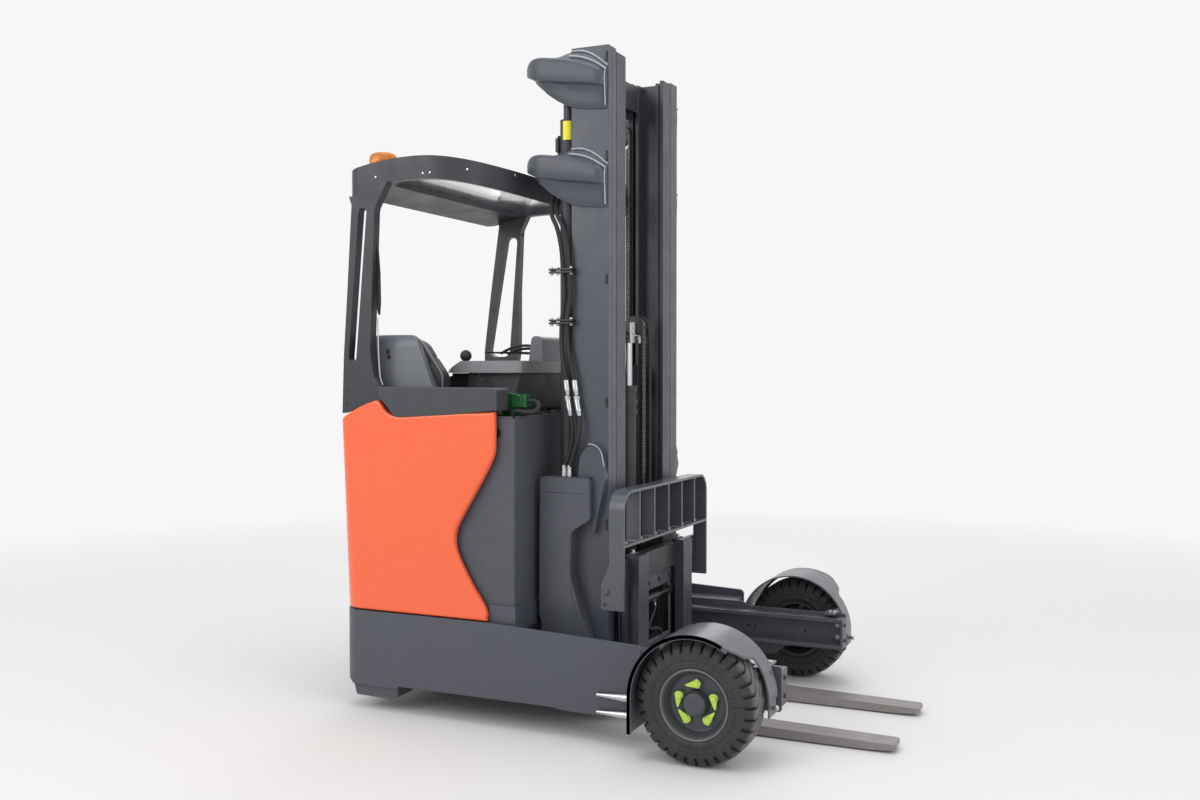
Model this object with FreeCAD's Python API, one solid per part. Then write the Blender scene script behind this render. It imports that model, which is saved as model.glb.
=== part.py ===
import FreeCAD, Part
import math
import os

# Reach truck, forks lowered and mast drawn back. Millimetres, +X towards the
# fork tips, +Y to the left, +Z up, origin on the floor under the middle.

V = FreeCAD.Vector

# whole truck
rear_x = -1100
fork_tip_x = 1100
half_width = 620
side_z = 110
skirt_top_z = 405
corner_radius = 90
seam_foot_x = -820
seam_slope = 0.15

# plates, moulded covers and the floor of the cab
plate = 12
cover_wall = 24
deck_z = 405
mat_z = 417

# load wheels and their legs
axle_x = 490
tyre_radius = 221
tyre_width = 160
tyre_inner_y = 590
rim_radius = 126
hub_radius = 42
axle_radius = 25
rail_inner_y = 439
rail_web_y = 493
rail_outer_y = 505
rail_bottom_z = 185
rail_top_z = 313
rail_flange = 14
rail_rear_x = -560
rail_front_x = 738
leg_front_x = 240
beam_inner_y = 513
beam_wall = 10
beam_bottom_z = 120
beam_top_z = 345
axle_foot_y = 572
axle_end_y = 728
roller_z = 249
roller_radius = 45

# mudguards, cut back at their outer front corner
fender_x = 490
fender_z = 229
fender_radius = 241
fender_sheet = 6
fender_outer_y = 772
fender_inner_y = 540
fender_strip_y = 640
fender_lip = 15

# battery bay
bulkhead_x = -676
battery_front_x = -304
battery_y = 584
battery_base_z = 400
battery_top_z = 1200
tray_z = 375
tray_lip_z = 470
tray_wall = 8

# mast, three nested pairs of channels
mast_front_x = 0
mast_depth = 160
mast_top_z = 2650
outer_y = 372
middle_y = 295
inner_y = 272
inner_edge_y = 205
web = 16
stage_travel = 2000

# overhead guard, an arched frame on two slotted pillars
guard_crown_x = -760
guard_crown_z = 2238
guard_curve = 1246
guard_depth = 90
guard_rear_x = -1076
pillar_inner_y = 560
pillar_outer_y = 600

# steering wheel at the driver's left hand
wheel_x = -932
wheel_y = 255
wheel_z = 1140

# drive unit under the seat
drive_x = -865
drive_y = -200
drive_radius = 165
drive_width = 105
drive_flange_z = 356
drive_motor_z = 420

# seat, turned to face the entry, and the console beside it
seat_front_x = -690
seat_rear_x = -1060
seat_base_z = 1018
seat_tread_z = 1030
seat_back_y = 482
console_z = 1374
console_top_z = 1424
console_front_x = -405
console_rear_x = -778
armrest_top_z = 1315

# lift cylinders outside the mast, and the hoses behind it
barrel_x = -194
barrel_y = 330
barrel_radius = 33
lift_rod_radius = 20
barrel_top_z = 2380
arm_z = 2500
hose_radius = 9
clamp_rear_x = -243
clamp_front_x = -141

# free lift cylinder in the middle of the mast, its chain and its hose
lift_x = -78
lift_radius = 36
lift_barrel_z = 1320
lift_top_z = 1500
sheave_x = -71
sheave_z = 1572
sheave_radius = 33
chain_y = 60
chain_depth = 10
chain_width = 32

# chains of the main lift, over sheaves under the middle mast's arm
stage_sheave_x = -203
stage_sheave_y = 187
stage_sheave_z = 2405
stage_sheave_radius = 49
chain_bar_z = 2186

# fork carriage, the hinge line of its tilting frame, and the side shifter
carriage_y = 198
frame_y = 330
bar_z = 525
bar_height = 70
tilt_x = 27
tilt_z = 560
shift_rear_x = 38
shift_front_x = 60
shift_top_z = 640

# load backrest and forks
backrest_y = 474
backrest_foot_z = 464
backrest_top_z = 921
backrest_rear_x = 47
backrest_front_x = 109
backrest_bar = 10
fork_inner_y = 200
fork_outer_y = 303
fork_heel_x = 60
fork_thickness = 40
fork_bottom_z = 6


def block(x0, x1, y0, y1, z0, z1):
    return Part.makeBox(x1 - x0, y1 - y0, z1 - z0, V(x0, y0, z0))


def mirror(shape):
    return shape.mirror(V(0, 0, 0), V(0, 1, 0))


def both(shape):
    return [shape, mirror(shape)]


def corner_arc(before, corner, after, radius):
    """Ends and middle of the arc that rounds one corner of an outline."""
    a = (before - corner).normalize()
    b = (after - corner).normalize()
    half = a.getAngle(b) / 2
    reach = radius / math.tan(half)
    middle = (a + b).normalize()
    centre = corner + middle * (radius / math.sin(half))
    return corner + a * reach, centre - middle * radius, corner + b * reach


def rounded_wire(points, place):
    """Closed wire through (u, v, radius) corners, each laid out by place."""
    corners = [place(p[0], p[1]) for p in points]
    edges = []
    last_end = None
    first_start = None
    count = len(points)
    for i in range(count):
        radius = points[i][2] if len(points[i]) > 2 else 0
        corner = V(corners[i])
        if radius > 0:
            start, middle, end = corner_arc(V(corners[i - 1]), V(corner), V(corners[(i + 1) % count]), radius)
        else:
            start, middle, end = corner, None, corner
        if last_end is not None and (start - last_end).Length > 1e-6:
            edges.append(Part.LineSegment(last_end, start).toShape())
        if middle is not None:
            edges.append(Part.Arc(start, middle, end).toShape())
        if first_start is None:
            first_start = start
        last_end = end
    if (first_start - last_end).Length > 1e-6:
        edges.append(Part.LineSegment(last_end, first_start).toShape())
    return Part.Wire(edges)


def side_plate(points, y0, y1):
    """Plate seen from the side: corners are (x, z, radius)."""
    wire = rounded_wire(points, lambda x, z: V(x, y0, z))
    return Part.Face(wire).extrude(V(0, y1 - y0, 0))


def flat_plate(points, z0, z1):
    """Plate seen from above: corners are (x, y, radius)."""
    wire = rounded_wire(points, lambda x, y: V(x, y, z0))
    return Part.Face(wire).extrude(V(0, 0, z1 - z0))


def front_plate(points, x0, x1):
    """Plate seen from the front: corners are (y, z, radius)."""
    wire = rounded_wire(points, lambda y, z: V(x0, y, z))
    return Part.Face(wire).extrude(V(x1 - x0, 0, 0))


def rod_y(x, z, y0, y1, radius):
    return Part.makeCylinder(radius, y1 - y0, V(x, y0, z), V(0, 1, 0))


def rod_z(x, y, z0, z1, radius):
    return Part.makeCylinder(radius, z1 - z0, V(x, y, z0), V(0, 0, 1))


def rod_x(y, z, x0, x1, radius):
    return Part.makeCylinder(radius, x1 - x0, V(x0, y, z), V(1, 0, 0))


def revolve_y(points, x, z):
    """Turned body about an axis along Y: corners are (y, distance from axis, radius)."""
    wire = rounded_wire(points, lambda y, r: V(x, y, z + r))
    return Part.Face(wire).revolve(V(x, 0, z), V(0, 1, 0), 360)


def revolve_z(points, x, y):
    """Turned body about a vertical axis: corners are (distance from axis, z, radius)."""
    wire = rounded_wire(points, lambda r, z: V(x + r, y, z))
    return Part.Face(wire).revolve(V(x, y, 0), V(0, 0, 1), 360)


def fuse(shapes):
    result = shapes[0]
    for shape in shapes[1:]:
        result = result.fuse(shape)
    return result.removeSplitter()


def hose_path(points, radius):
    """Round hose along straight runs joined by tangent arcs."""
    points = [V(*p) for p in points]
    edges = []
    start = points[0]
    for i in range(1, len(points) - 1):
        run_in = (points[i] - points[i - 1]).Length
        run_out = (points[i + 1] - points[i]).Length
        turn = math.pi - (points[i - 1] - points[i]).getAngle(points[i + 1] - points[i])
        bend = 0.45 * min(run_in, run_out) / math.tan(turn / 2)
        a, b, c = corner_arc(points[i - 1], points[i], points[i + 1], bend)
        edges.append(Part.LineSegment(start, a).toShape())
        edges.append(Part.Arc(a, b, c).toShape())
        start = c
    edges.append(Part.LineSegment(start, points[-1]).toShape())
    path = Part.Wire(edges)
    circle = Part.Wire(Part.makeCircle(radius, points[0], points[1] - points[0]))
    return path.makePipe(Part.Face(circle))


def put(node, shapes):
    if not isinstance(shapes, list):
        shapes = [shapes]
    shape = shapes[0] if len(shapes) == 1 else Part.makeCompound(shapes)
    shape.exportStep("parts/" + node + ".step")


# ---------------------------------------------------------------- chassis

def seam_x(z):
    """Sloping joint between the rear bumper and the leg skirts."""
    return seam_foot_x - seam_slope * (z - side_z)


def leg():
    """Skirt plate, box beam and axle block of the right-hand leg (y below 0)."""
    skirt = side_plate([
        (seam_x(side_z), side_z, 0), (-130, side_z, 60), (-60, side_z - 8, 60), (leg_front_x, side_z - 8, 20),
        (leg_front_x, 376, 20), (-400, skirt_top_z, 0), (seam_x(skirt_top_z), skirt_top_z, 0)],
        -half_width, -half_width + plate)
    skirt_inner_y = half_width - plate
    beam_end_x = leg_front_x - 2
    beam = [block(rail_rear_x, beam_end_x, -skirt_inner_y, -beam_inner_y, z, z + beam_wall)
            for z in (beam_bottom_z, beam_top_z - beam_wall)]
    cap = block(beam_end_x - beam_wall, beam_end_x, -skirt_inner_y, -beam_inner_y,
                beam_bottom_z + beam_wall, beam_top_z - beam_wall)
    bearer = block(rail_rear_x, battery_front_x, -skirt_inner_y, -axle_foot_y + 2, beam_top_z, tray_z)
    toe_z = 165
    inner = side_plate([
        (rail_rear_x, beam_bottom_z, 0), (420, beam_bottom_z, 40), (470, toe_z, 40), (rail_front_x, toe_z, 12),
        (rail_front_x, 328, 12), (300, 328, 40), (270, beam_top_z, 40), (rail_rear_x, beam_top_z, 0)],
        -beam_inner_y, -rail_outer_y)
    holder = side_plate([
        (axle_x - 72, toe_z, 10), (axle_x + 72, toe_z, 10), (axle_x + 72, rail_top_z, 30),
        (axle_x - 72, rail_top_z, 30)], -axle_foot_y, -beam_inner_y)
    return fuse([skirt, bearer, inner, cap, holder] + beam)


def rail():
    """Channel rail that the mast carriage rolls in."""
    channel = block(rail_rear_x, rail_front_x, -rail_outer_y, -rail_inner_y, rail_bottom_z, rail_top_z)
    hollow = block(rail_rear_x - 1, rail_front_x + 1, -rail_web_y, -rail_inner_y + 1,
                   rail_bottom_z + rail_flange, rail_top_z - rail_flange)
    stop = block(rail_front_x - beam_wall, rail_front_x, -rail_web_y, -rail_inner_y, rail_bottom_z, rail_top_z)
    channel = channel.cut(hollow).fuse(stop)
    for x in (300, 330, 560):
        channel = channel.cut(rod_y(x, 240, -rail_outer_y - 1, -rail_web_y + 1, 7))
    return channel.removeSplitter()


def axle():
    """Stub axle with its square foot on the leg."""
    half_foot = 45
    foot = block(axle_x - half_foot, axle_x + half_foot, -axle_foot_y - 10, -axle_foot_y,
                 tyre_radius - half_foot, tyre_radius + half_foot)
    pin = rod_y(axle_x, tyre_radius, -axle_end_y, -axle_foot_y - 10, axle_radius)
    return fuse([foot, pin])


def fender():
    """Mudguard: full width over the tyre, a strip and a flap in front, on two tapered stays."""
    inner = fender_radius - fender_sheet
    rear_x = fender_x - fender_radius
    front_x = fender_x + fender_radius
    sheet = rod_y(fender_x, fender_z, -fender_outer_y, -fender_inner_y, fender_radius)
    sheet = sheet.cut(rod_y(fender_x, fender_z, -fender_outer_y - 1, -fender_inner_y + 1, inner))
    lip = rod_y(fender_x, fender_z, -fender_outer_y, -fender_outer_y + fender_sheet, fender_radius - 1)
    lip = lip.cut(rod_y(fender_x, fender_z, -fender_outer_y - 1, -fender_inner_y, fender_radius - fender_lip))
    hoop = sheet.fuse(lip).cut(block(rear_x - 9, front_x + 9, -800, -500, -100, fender_z))
    hoop = hoop.common(flat_plate([
        (rear_x, -fender_outer_y, 0), (fender_x + 125, -fender_outer_y, 30), (fender_x + 170, -710, 30),
        (fender_x + 184, -fender_strip_y, 14), (front_x, -fender_strip_y, 0), (front_x, -fender_inner_y, 0),
        (rear_x, -fender_inner_y, 0)], fender_z, fender_z + fender_radius + 1))
    tail_z = 97
    tail_y = -562
    tail = block(rear_x, rear_x + fender_sheet, -fender_outer_y, tail_y, tail_z, fender_z)
    tail_lip = block(rear_x, rear_x + fender_lip, -fender_outer_y, -fender_outer_y + fender_sheet, tail_z, fender_z)
    flap = block(front_x - fender_sheet, front_x, -fender_strip_y, tail_y, 176, fender_z)
    stub = rod_x(-600, 204, front_x, front_x + 14, 7)
    stays = [Part.makeCone(5, 9, rear_x - 70, V(70, -629, z), V(1, 0, 0)) for z in (120, 184)]
    bracket = flat_plate([(650, -450, 6), (702, -450, 6), (704, -580, 0), (650, -580, 6)], 328, 334)
    return fuse([hoop, tail, tail_lip, flap, stub, bracket] + stays)


def build_legs():
    right = leg()
    put("leg_right", right)
    put("leg_left", mirror(right))
    put("reach_rails", both(rail()))
    put("load_axles", both(axle()))
    sheet = fender()
    put("fender_right", sheet)
    put("fender_left", mirror(sheet))


def load_wheel():
    """Disc and rim, bored for the axle, and the solid tyre round them."""
    outer = tyre_inner_y + tyre_width
    rim = revolve_y([
        (-outer + 12, rim_radius, 0), (-outer + 12, rim_radius - 10, 3), (-outer + 48, rim_radius - 26, 8),
        (-outer + 48, hub_radius + 4, 4), (-outer + 8, hub_radius - 2, 4), (-outer + 8, 0, 0),
        (-outer + 20, 0, 0), (-outer + 20, axle_radius + 0.05, 0), (-tyre_inner_y - 4, axle_radius + 0.05, 0),
        (-tyre_inner_y - 4, 60, 6), (-outer + 70, 60, 6), (-outer + 70, rim_radius - 26, 6),
        (-tyre_inner_y - 12, rim_radius - 14, 3), (-tyre_inner_y - 12, rim_radius, 0)], axle_x, tyre_radius)
    tyre = revolve_y([
        (-outer + 6, rim_radius, 0), (-outer, rim_radius + 16, 14), (-outer + 4, 200, 20),
        (-outer + 22, tyre_radius, 12), (-tyre_inner_y - 22, tyre_radius, 12), (-tyre_inner_y - 4, 200, 20),
        (-tyre_inner_y, rim_radius + 16, 14), (-tyre_inner_y - 6, rim_radius, 0)], axle_x, tyre_radius)
    return rim, tyre


def build_load_wheels():
    rim, tyre = load_wheel()
    put("load_rim_right", rim)
    put("load_rim_left", mirror(rim))
    put("load_tyre_right", tyre)
    put("load_tyre_left", mirror(tyre))


def build_base():
    """Floor pan, bulkhead, cab deck, battery tray, bumper and feet."""
    side = half_width - plate
    bumper_x = rear_x + 45
    inner_radius = 60
    footprint = [(bumper_x, -side, inner_radius), (bulkhead_x, -side, 0), (bulkhead_x, side, 0),
                 (bumper_x, side, inner_radius)]
    pan_z = 122
    pan = fuse([flat_plate(footprint, pan_z, pan_z + plate),
                block(bulkhead_x, rail_rear_x, -side, side, pan_z, pan_z + plate)])
    pan = pan.cut(rod_z(drive_x, drive_y, 100, 150, drive_radius + 18))
    bulkhead = block(bulkhead_x, bulkhead_x + plate, -side, side, pan_z + plate, deck_z)
    upper = block(bulkhead_x, bulkhead_x + plate, -side + plate, side - plate, deck_z, battery_top_z - 20)
    deck = flat_plate(footprint, deck_z - 20, deck_z)
    deck = deck.cut(rod_z(drive_x, drive_y, 300, 500, 92))
    ribs = [block(bulkhead_x + plate, rail_rear_x, -y, plate - y, pan_z + plate, tray_z)
            for y in (side, rail_outer_y)]
    ribs += [mirror(rib) for rib in ribs]
    put("chassis_base", fuse([pan, bulkhead, upper, deck] + ribs))

    tray_y = battery_y + 2
    lip_x = battery_front_x + 2
    tray = block(bulkhead_x + plate, lip_x + tray_wall, -tray_y, tray_y, tray_z, battery_base_z)
    lip = [block(lip_x, lip_x + tray_wall, -tray_y, tray_y, battery_base_z, tray_lip_z)]
    lip += both(block(lip_x - 108, lip_x + tray_wall, -tray_y - tray_wall, -tray_y, tray_z, tray_lip_z))
    put("battery_tray", fuse([tray] + lip))
    battery = block(bulkhead_x + plate + 4, battery_front_x, -battery_y, battery_y, battery_base_z, battery_top_z)
    put("battery", battery.makeFillet(6, battery.Edges))

    outer = flat_plate([(rear_x, -half_width, corner_radius), (seam_foot_x, -half_width, 0),
                        (seam_foot_x, half_width, 0), (rear_x, half_width, corner_radius)], 100, skirt_top_z)
    hollow = flat_plate(footprint, 99, skirt_top_z + 1)
    seam = side_plate([(seam_x(500), 500, 0), (seam_x(50), 50, 0), (-700, 50, 0), (-700, 500, 0)],
                      -half_width - 2, half_width + 2)
    heel = side_plate([(rear_x - 1, 99, 0), (rear_x - 1, 134, 0), (rear_x + 60, 99, 0)],
                      -half_width - 1, half_width + 1)
    feet = both(side_plate([(-1048, pan_z, 0), (-1030, 54, 8), (-856, 50, 8), (-834, 66, 6), (-822, pan_z, 0)],
                           -606, -480))
    put("rear_bumper", fuse([outer.cut(hollow).cut(seam).cut(heel)] + feet))


def build_connector():
    """Battery plug in its holder, and the sleeved lead that loops from it to the battery."""
    grip_z = 1240
    plug_z = 1290
    plug = flat_plate([(-430, -512, 8), (-296, -506, 10), (-296, -458, 10), (-430, -452, 8)], grip_z, plug_z)
    holder = block(-400, -332, -500, -464, battery_top_z, grip_z)
    body = fuse([plug, holder])
    for y0, y1 in ((-520, -505), (-459, -440)):
        body = body.cut(block(-372, -356, y0, y1, grip_z - 1, plug_z + 1))
    put("battery_connector", body)
    put("battery_lead", hose_path([
        (-295.5, -482, 1264), (-268, -482, 1264), (-244, -492, 1254), (-236, -510, 1236), (-252, -524, 1222),
        (-286, -531, 1221), (-316, -534, 1226), (-338, -535, 1219), (-338, -535, battery_top_z + 0.5)],
        hose_radius))


def build_drive():
    """Turntable, arm and motor that steer, and the wheel they carry."""
    neck_z = drive_flange_z + 22
    hub_y = drive_y + 62
    flange = rod_z(drive_x, drive_y, drive_flange_z, neck_z, 150)
    neck = rod_z(drive_x, drive_y, neck_z, drive_motor_z, 82)
    arm = block(drive_x - 70, drive_x + 70, hub_y, hub_y + 60, 110, drive_flange_z)
    hub = rod_y(drive_x, drive_radius, drive_y - 45, hub_y, 40)
    put("drive_gearbox", fuse([flange, neck, arm, hub]))
    put("drive_motor", rod_z(drive_x, drive_y, drive_motor_z, drive_motor_z + 300, 80))
    half = drive_width / 2
    bore = 40.05
    put("drive_wheel", revolve_y([
        (drive_y - half, bore, 0), (drive_y - half, drive_radius - 8, 8), (drive_y - half + 10, drive_radius, 6),
        (drive_y + half - 10, drive_radius, 6), (drive_y + half, drive_radius - 8, 8), (drive_y + half, bore, 0)],
        drive_x, drive_radius))


# ---------------------------------------------------------------- body

def guard_band(depth_from, depth_to):
    """Arched layer between two depths below the crown of the guard."""
    centre_z = guard_crown_z - guard_curve
    outer = rod_y(guard_crown_x, centre_z, -700, 700, guard_curve - depth_from)
    return outer.cut(rod_y(guard_crown_x, centre_z, -701, 701, guard_curve - depth_to))


def panel_shell(z0, z1):
    """Right-hand side skin that wraps the rear corner, seen from above."""
    inner_x = rear_x + cover_wall
    inner_y = half_width - cover_wall
    return flat_plate([
        (rear_x, -half_width, corner_radius), (battery_front_x, -half_width, 0), (battery_front_x, -inner_y, 0),
        (inner_x, -inner_y, corner_radius - cover_wall), (inner_x, -430, 0), (rear_x, -430, 0)], z0, z1)


def side_panel():
    """Moulded side cover with its waisted front edge."""
    outline = side_plate([
        (-1110, deck_z, 0), (-400, deck_z, 14), (-566, 707, 110), (-481, 879, 160),
        (-374, 1085, 90), (-374, 1228, 10), (-600, 1208, 0), (-830, 1196, 40), (-896, 1270, 30),
        (-1110, 1205, 0)], -640, -420)
    return panel_shell(400, 1300).common(outline)


def side_rim(rear_end, rear_points):
    """Hollow armrest moulding above the side cover."""
    points = [(-374, 1228, 0), (-362, 1228, 0), (-362, armrest_top_z, 14), (rear_end, armrest_top_z + 3, 0)]
    solid = side_plate(points + rear_points + [(-600, 1208, 0)], -half_width, -524)
    hollow = block(rear_end - 20, -362 - 14, -half_width + 14, -510, 1100, armrest_top_z - 14)
    return solid.cut(hollow)


def guard_plan():
    """Outline of the guard seen from above."""
    return flat_plate([
        (guard_rear_x, -600, 60), (-560, -600, 240), (-400, -300, 300), (-400, 300, 300), (-560, 600, 240),
        (guard_rear_x, 600, 60)], 1900, 2300)


def pillar(outline, slot):
    """Slotted guard pillar with its head in the guard's rear corner."""
    blade = side_plate(outline, -pillar_outer_y, -pillar_inner_y)
    blade = blade.cut(side_plate(slot, -pillar_outer_y - 1, -pillar_inner_y + 1))
    below = rod_y(guard_crown_x, guard_crown_z - guard_curve, -700, 0, guard_curve - guard_depth)
    corner = block(-1110, -980, -610, -550, 2095, 2300).cut(guard_plan())
    tongue = block(-1050, -1010, -580, -pillar_inner_y, deck_z, 1300)
    return fuse([blade.common(below).cut(corner), tongue]).cut(side_panel())


def right_pillar():
    return pillar([
        (-1100, 1208, 0), (-1092, 1440, 300), (-1073, 1706, 300), (-1050, 2060, 0), (-1062, 2092, 10),
        (-1062, 2260, 0), (-850, 2260, 0), (-872, 2150, 50), (-937, 2039, 60), (-952, 1705, 300),
        (-961, 1456, 200), (-945, 1362, 50), (-914, 1318, 0), (-900, 1268, 0)],
        [(-1069, 1420, 17), (-1014, 2045, 17), (-975, 2045, 17), (-1031, 1420, 17)])


def left_pillar():
    return mirror(pillar([
        (-1100, 1208, 0), (-1098, 1490, 200), (-1061, 1779, 300), (-1014, 2112, 24), (-1060, 2156, 12),
        (-1060, 2260, 0), (-820, 2260, 0), (-838, 2180, 50), (-893, 2078, 60), (-907, 1777, 300),
        (-908, 1490, 120), (-935, 1330, 60), (-1003, 1240, 0), (-1003, 1208, 0)],
        [(-1078, 1455, 34), (-975, 2045, 26), (-911, 2045, 26), (-957, 1455, 34)]))


def guard_frame():
    """Arched ring round the clear roof panel."""
    return guard_plan().cut(roof_opening()).common(guard_band(0, guard_depth))


def roof_opening():
    return flat_plate([
        (-900, -556, 70), (-590, -556, 215), (-452, -285, 270), (-452, 285, 270), (-590, 556, 215),
        (-900, 556, 70)], 1890, 2310)


def build_guard():
    put("guard_pillar_right", right_pillar())
    put("guard_pillar_left", left_pillar())
    put("guard_frame", guard_frame())
    put("roof_panel", roof_opening().common(guard_band(22, 30)))
    base = rod_z(-975, -480, 2218, 2234, 60)
    dome = revolve_z([(0, 2234, 0), (56, 2234, 0), (52, 2288, 14), (0, 2288, 0)], -975, -480)
    put("beacon", fuse([base.cut(guard_band(0, guard_depth)), dome]))


def build_body():
    panel = side_panel()
    put("side_panel_right", panel)
    entry = block(-1000, -690, 560, 640, 440, 1300)
    put("side_panel_left", mirror(panel).cut(entry))
    right_rim = side_rim(-914, [(-900, 1268, 0), (-896, 1270, 30), (-830, 1196, 40)])
    left_rim = side_rim(-684, [(-684, 1205, 0)])
    put("side_rims", [right_rim.cut(panel), mirror(left_rim.cut(panel))])
    cover = block(rear_x, rear_x + cover_wall, -427, 427, deck_z, 1205)
    for z in (560, 600, 640, 680):
        cover = cover.cut(block(rear_x - 1, rear_x + cover_wall + 1, -220, 220, z, z + 12))
    put("rear_cover", cover)

    floor = block(-1000, bulkhead_x, -100, 592, deck_z, mat_z)
    pedals = []
    for x0 in (-940, -850):
        pedals.append(block(x0 + 25, x0 + 45, 470, 490, mat_z, mat_z + 6))
        pedals.append(block(x0, x0 + 70, 420, 540, mat_z + 6, mat_z + 18))
    put("operator_floor", fuse([floor] + pedals))

    hood_z = 960
    wall = 8
    cover = block(rear_x + 40, bulkhead_x, -556, -104, deck_z, hood_z)
    inside = block(rear_x + 40 + wall, bulkhead_x - wall, -556 + wall, -104 - wall, deck_z - 1, hood_z - wall)
    plinth = block(-1020, -740, -420, -160, hood_z, seat_base_z)
    put("motor_cover", fuse([cover.cut(inside), plinth]))


def build_cab():
    """Seat, consoles and controls."""
    cushion = block(seat_rear_x - 6, seat_front_x + 2, -430, 20, seat_tread_z, seat_tread_z + 100)
    put("seat_cushion", cushion.makeFillet(30, cushion.Edges))
    back = side_plate([(-1056, 1134, 30), (-1056, 1530, 60), (-800, 1530, 100), (-680, 1370, 60),
                       (-680, 1134, 30)], -seat_back_y, -404)
    put("seat_back", back)
    shell = front_plate([
        (-522, seat_base_z, 40), (10, seat_base_z, 4), (10, seat_tread_z, 4), (-484, seat_tread_z, 14),
        (-seat_back_y, 1526, 0), (-492, 1532, 8), (-512, 1500, 70), (-522, 1300, 300)], seat_rear_x, seat_front_x)
    shell = shell.common(side_plate([
        (-1056, 1010, 0), (-1056, 1534, 50), (-808, 1534, 60), (-712, 1310, 60), (-700, 1010, 0)], -540, 20))
    put("seat_shell", shell)

    top = flat_plate([
        (console_rear_x, -340, 60), (console_front_x, -340, 24), (console_front_x, 450, 24),
        (console_rear_x, 450, 60)], console_z, console_top_z)
    recess = flat_plate([(-740, -318, 40), (-540, -318, 14), (-540, 428, 14), (-740, 428, 40)],
                        console_top_z - 10, console_top_z + 6)
    bevel = side_plate([
        (-790, console_z - 1, 0), (console_rear_x, console_z - 1, 0), (-690, console_top_z + 1, 0),
        (-790, console_top_z + 1, 0)], -400, 500)
    lever = [rod_z(-690, -300, 1410, 1440, 6), Part.makeSphere(24, V(-690, -300, 1446))]
    put("console_top", fuse([top.cut(recess).cut(bevel)] + lever))
    stem_x = bulkhead_x + plate
    stem = side_plate([(stem_x, 1212, 0), (-470, 1212, 20), (-430, console_z, 0), (stem_x, console_z, 0)], -300, 420)
    foot = block(bulkhead_x, stem_x, -300, 420, battery_top_z - 20, console_z)
    put("console_stem", fuse([stem, foot]))
    hood = side_plate([(-492, console_top_z, 0), (-424, console_top_z, 0), (-428, 1528, 20), (-478, 1534, 22)],
                      -110, 90)
    screen = side_plate([(-500, 1440, 0), (-486, 1440, 4), (-477, 1510, 4), (-500, 1510, 0)], -95, 75)
    put("display_hood", hood.cut(screen))

    column = fuse([block(-1070, -1000, 180, 330, deck_z, 1060), block(-1000, -950, 180, 330, mat_z, 1060),
                   block(-1070, -900, 190, 320, 1060, 1090), rod_z(wheel_x, wheel_y, 1090, wheel_z - 20.3, 20)])
    put("steering_console", column)
    put("steering_wheel", steering_wheel())


def steering_wheel():
    """Small rim on two spokes, turning about a vertical axis."""
    ring = Part.makeTorus(105, 12, V(wheel_x, wheel_y, wheel_z))
    hub = rod_z(wheel_x, wheel_y, wheel_z - 20, wheel_z + 5, 30)
    spoke = block(wheel_x - 100, wheel_x + 100, wheel_y - 10, wheel_y + 10, wheel_z - 10, wheel_z)
    return fuse([ring, hub, spoke])


# ---------------------------------------------------------------- mast

def channel(y_in, y_out, x0, x1, z0, z1, wall):
    """Upright on the right: web outside, flanges pointing to the middle."""
    solid = block(x0, x1, -y_out, -y_in, z0, z1)
    return solid.cut(block(x0 + wall, x1 - wall, -y_out + wall, -y_in + 1, z0 - 1, z1 + 1))


def yoke(drop):
    """Arched tie behind the mast, with its tapered gussets."""
    band_plan = flat_plate([
        (mast_front_x - 4, -414, 30), (-384, -414, 120), (-384, 414, 120), (mast_front_x - 4, 414, 30),
        (mast_front_x - 4, outer_y, 0), (-346, outer_y, 84), (-346, -outer_y, 84), (mast_front_x - 4, -outer_y, 0)],
        1900, 2700)
    band = band_plan.common(side_plate([
        (-4, 2530 - drop, 10), (-388, 2530 - drop, 36), (-388, 2606 - drop, 36), (-208, 2634 - drop, 300),
        (-4, 2600 - drop, 20)], -500, 500))
    slope = front_plate([(-416, 2590 - drop, 0), (-416, 2690 - drop, 0), (-316, 2690 - drop, 0)], -330, 0)
    for cut in both(slope):
        band = band.cut(cut)
    gusset = side_plate([
        (-4, 2392 - drop, 6), (-142, 2404 - drop, 60), (-297, 2470 - drop, 60), (-350, 2531 - drop, 0),
        (-4, 2531 - drop, 0)], -412, -outer_y)
    gusset = gusset.common(front_plate([
        (-412, 2532 - drop, 0), (-400, 2460 - drop, 200), (-378, 2390 - drop, 0), (-370, 2390 - drop, 0),
        (-370, 2532 - drop, 0)], -360, 0))
    return fuse([band] + both(gusset))


def chain_bar():
    """Crossbar behind the lower yoke that the main lift chains are anchored to."""
    return block(-300, -236, -outer_y, outer_y, chain_bar_z - 36, chain_bar_z)


def tower():
    """Side plate of the reach carriage with its rearward beam."""
    cheek = side_plate([
        (-480, 190, 20), (-42, 190, 14), (-56, 310, 160), (-139, 575, 160), (-134, 752, 40), (-56, 800, 20),
        (-56, 963, 18), (-272, 963, 18), (-276, 420, 0), (-262, 370, 60), (-282, 310, 30), (-480, 310, 20)],
        -430, -outer_y)
    seam = block(-300, -40, -431, -428, 900, 903)
    return fuse([cheek.cut(seam)] + [carriage_roller(x) for x in (-435, -70)])


def carriage_roller(x):
    """Roller that runs in the channel rail, on its pin."""
    wheel = rod_y(x, roller_z, -488, -444, roller_radius)
    pin = rod_y(x, roller_z, -444, -430, 18)
    return fuse([wheel, pin])


def build_carriage():
    put("carriage_tower_right", tower())
    put("carriage_tower_left", mirror(tower()))
    beam = block(-300, -240, -outer_y, outer_y, 90, 320)
    foot = block(-240, -mast_depth - 6, -outer_y, outer_y, 90, 130)
    put("carriage_crossbeam", fuse([beam, foot]))


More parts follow.
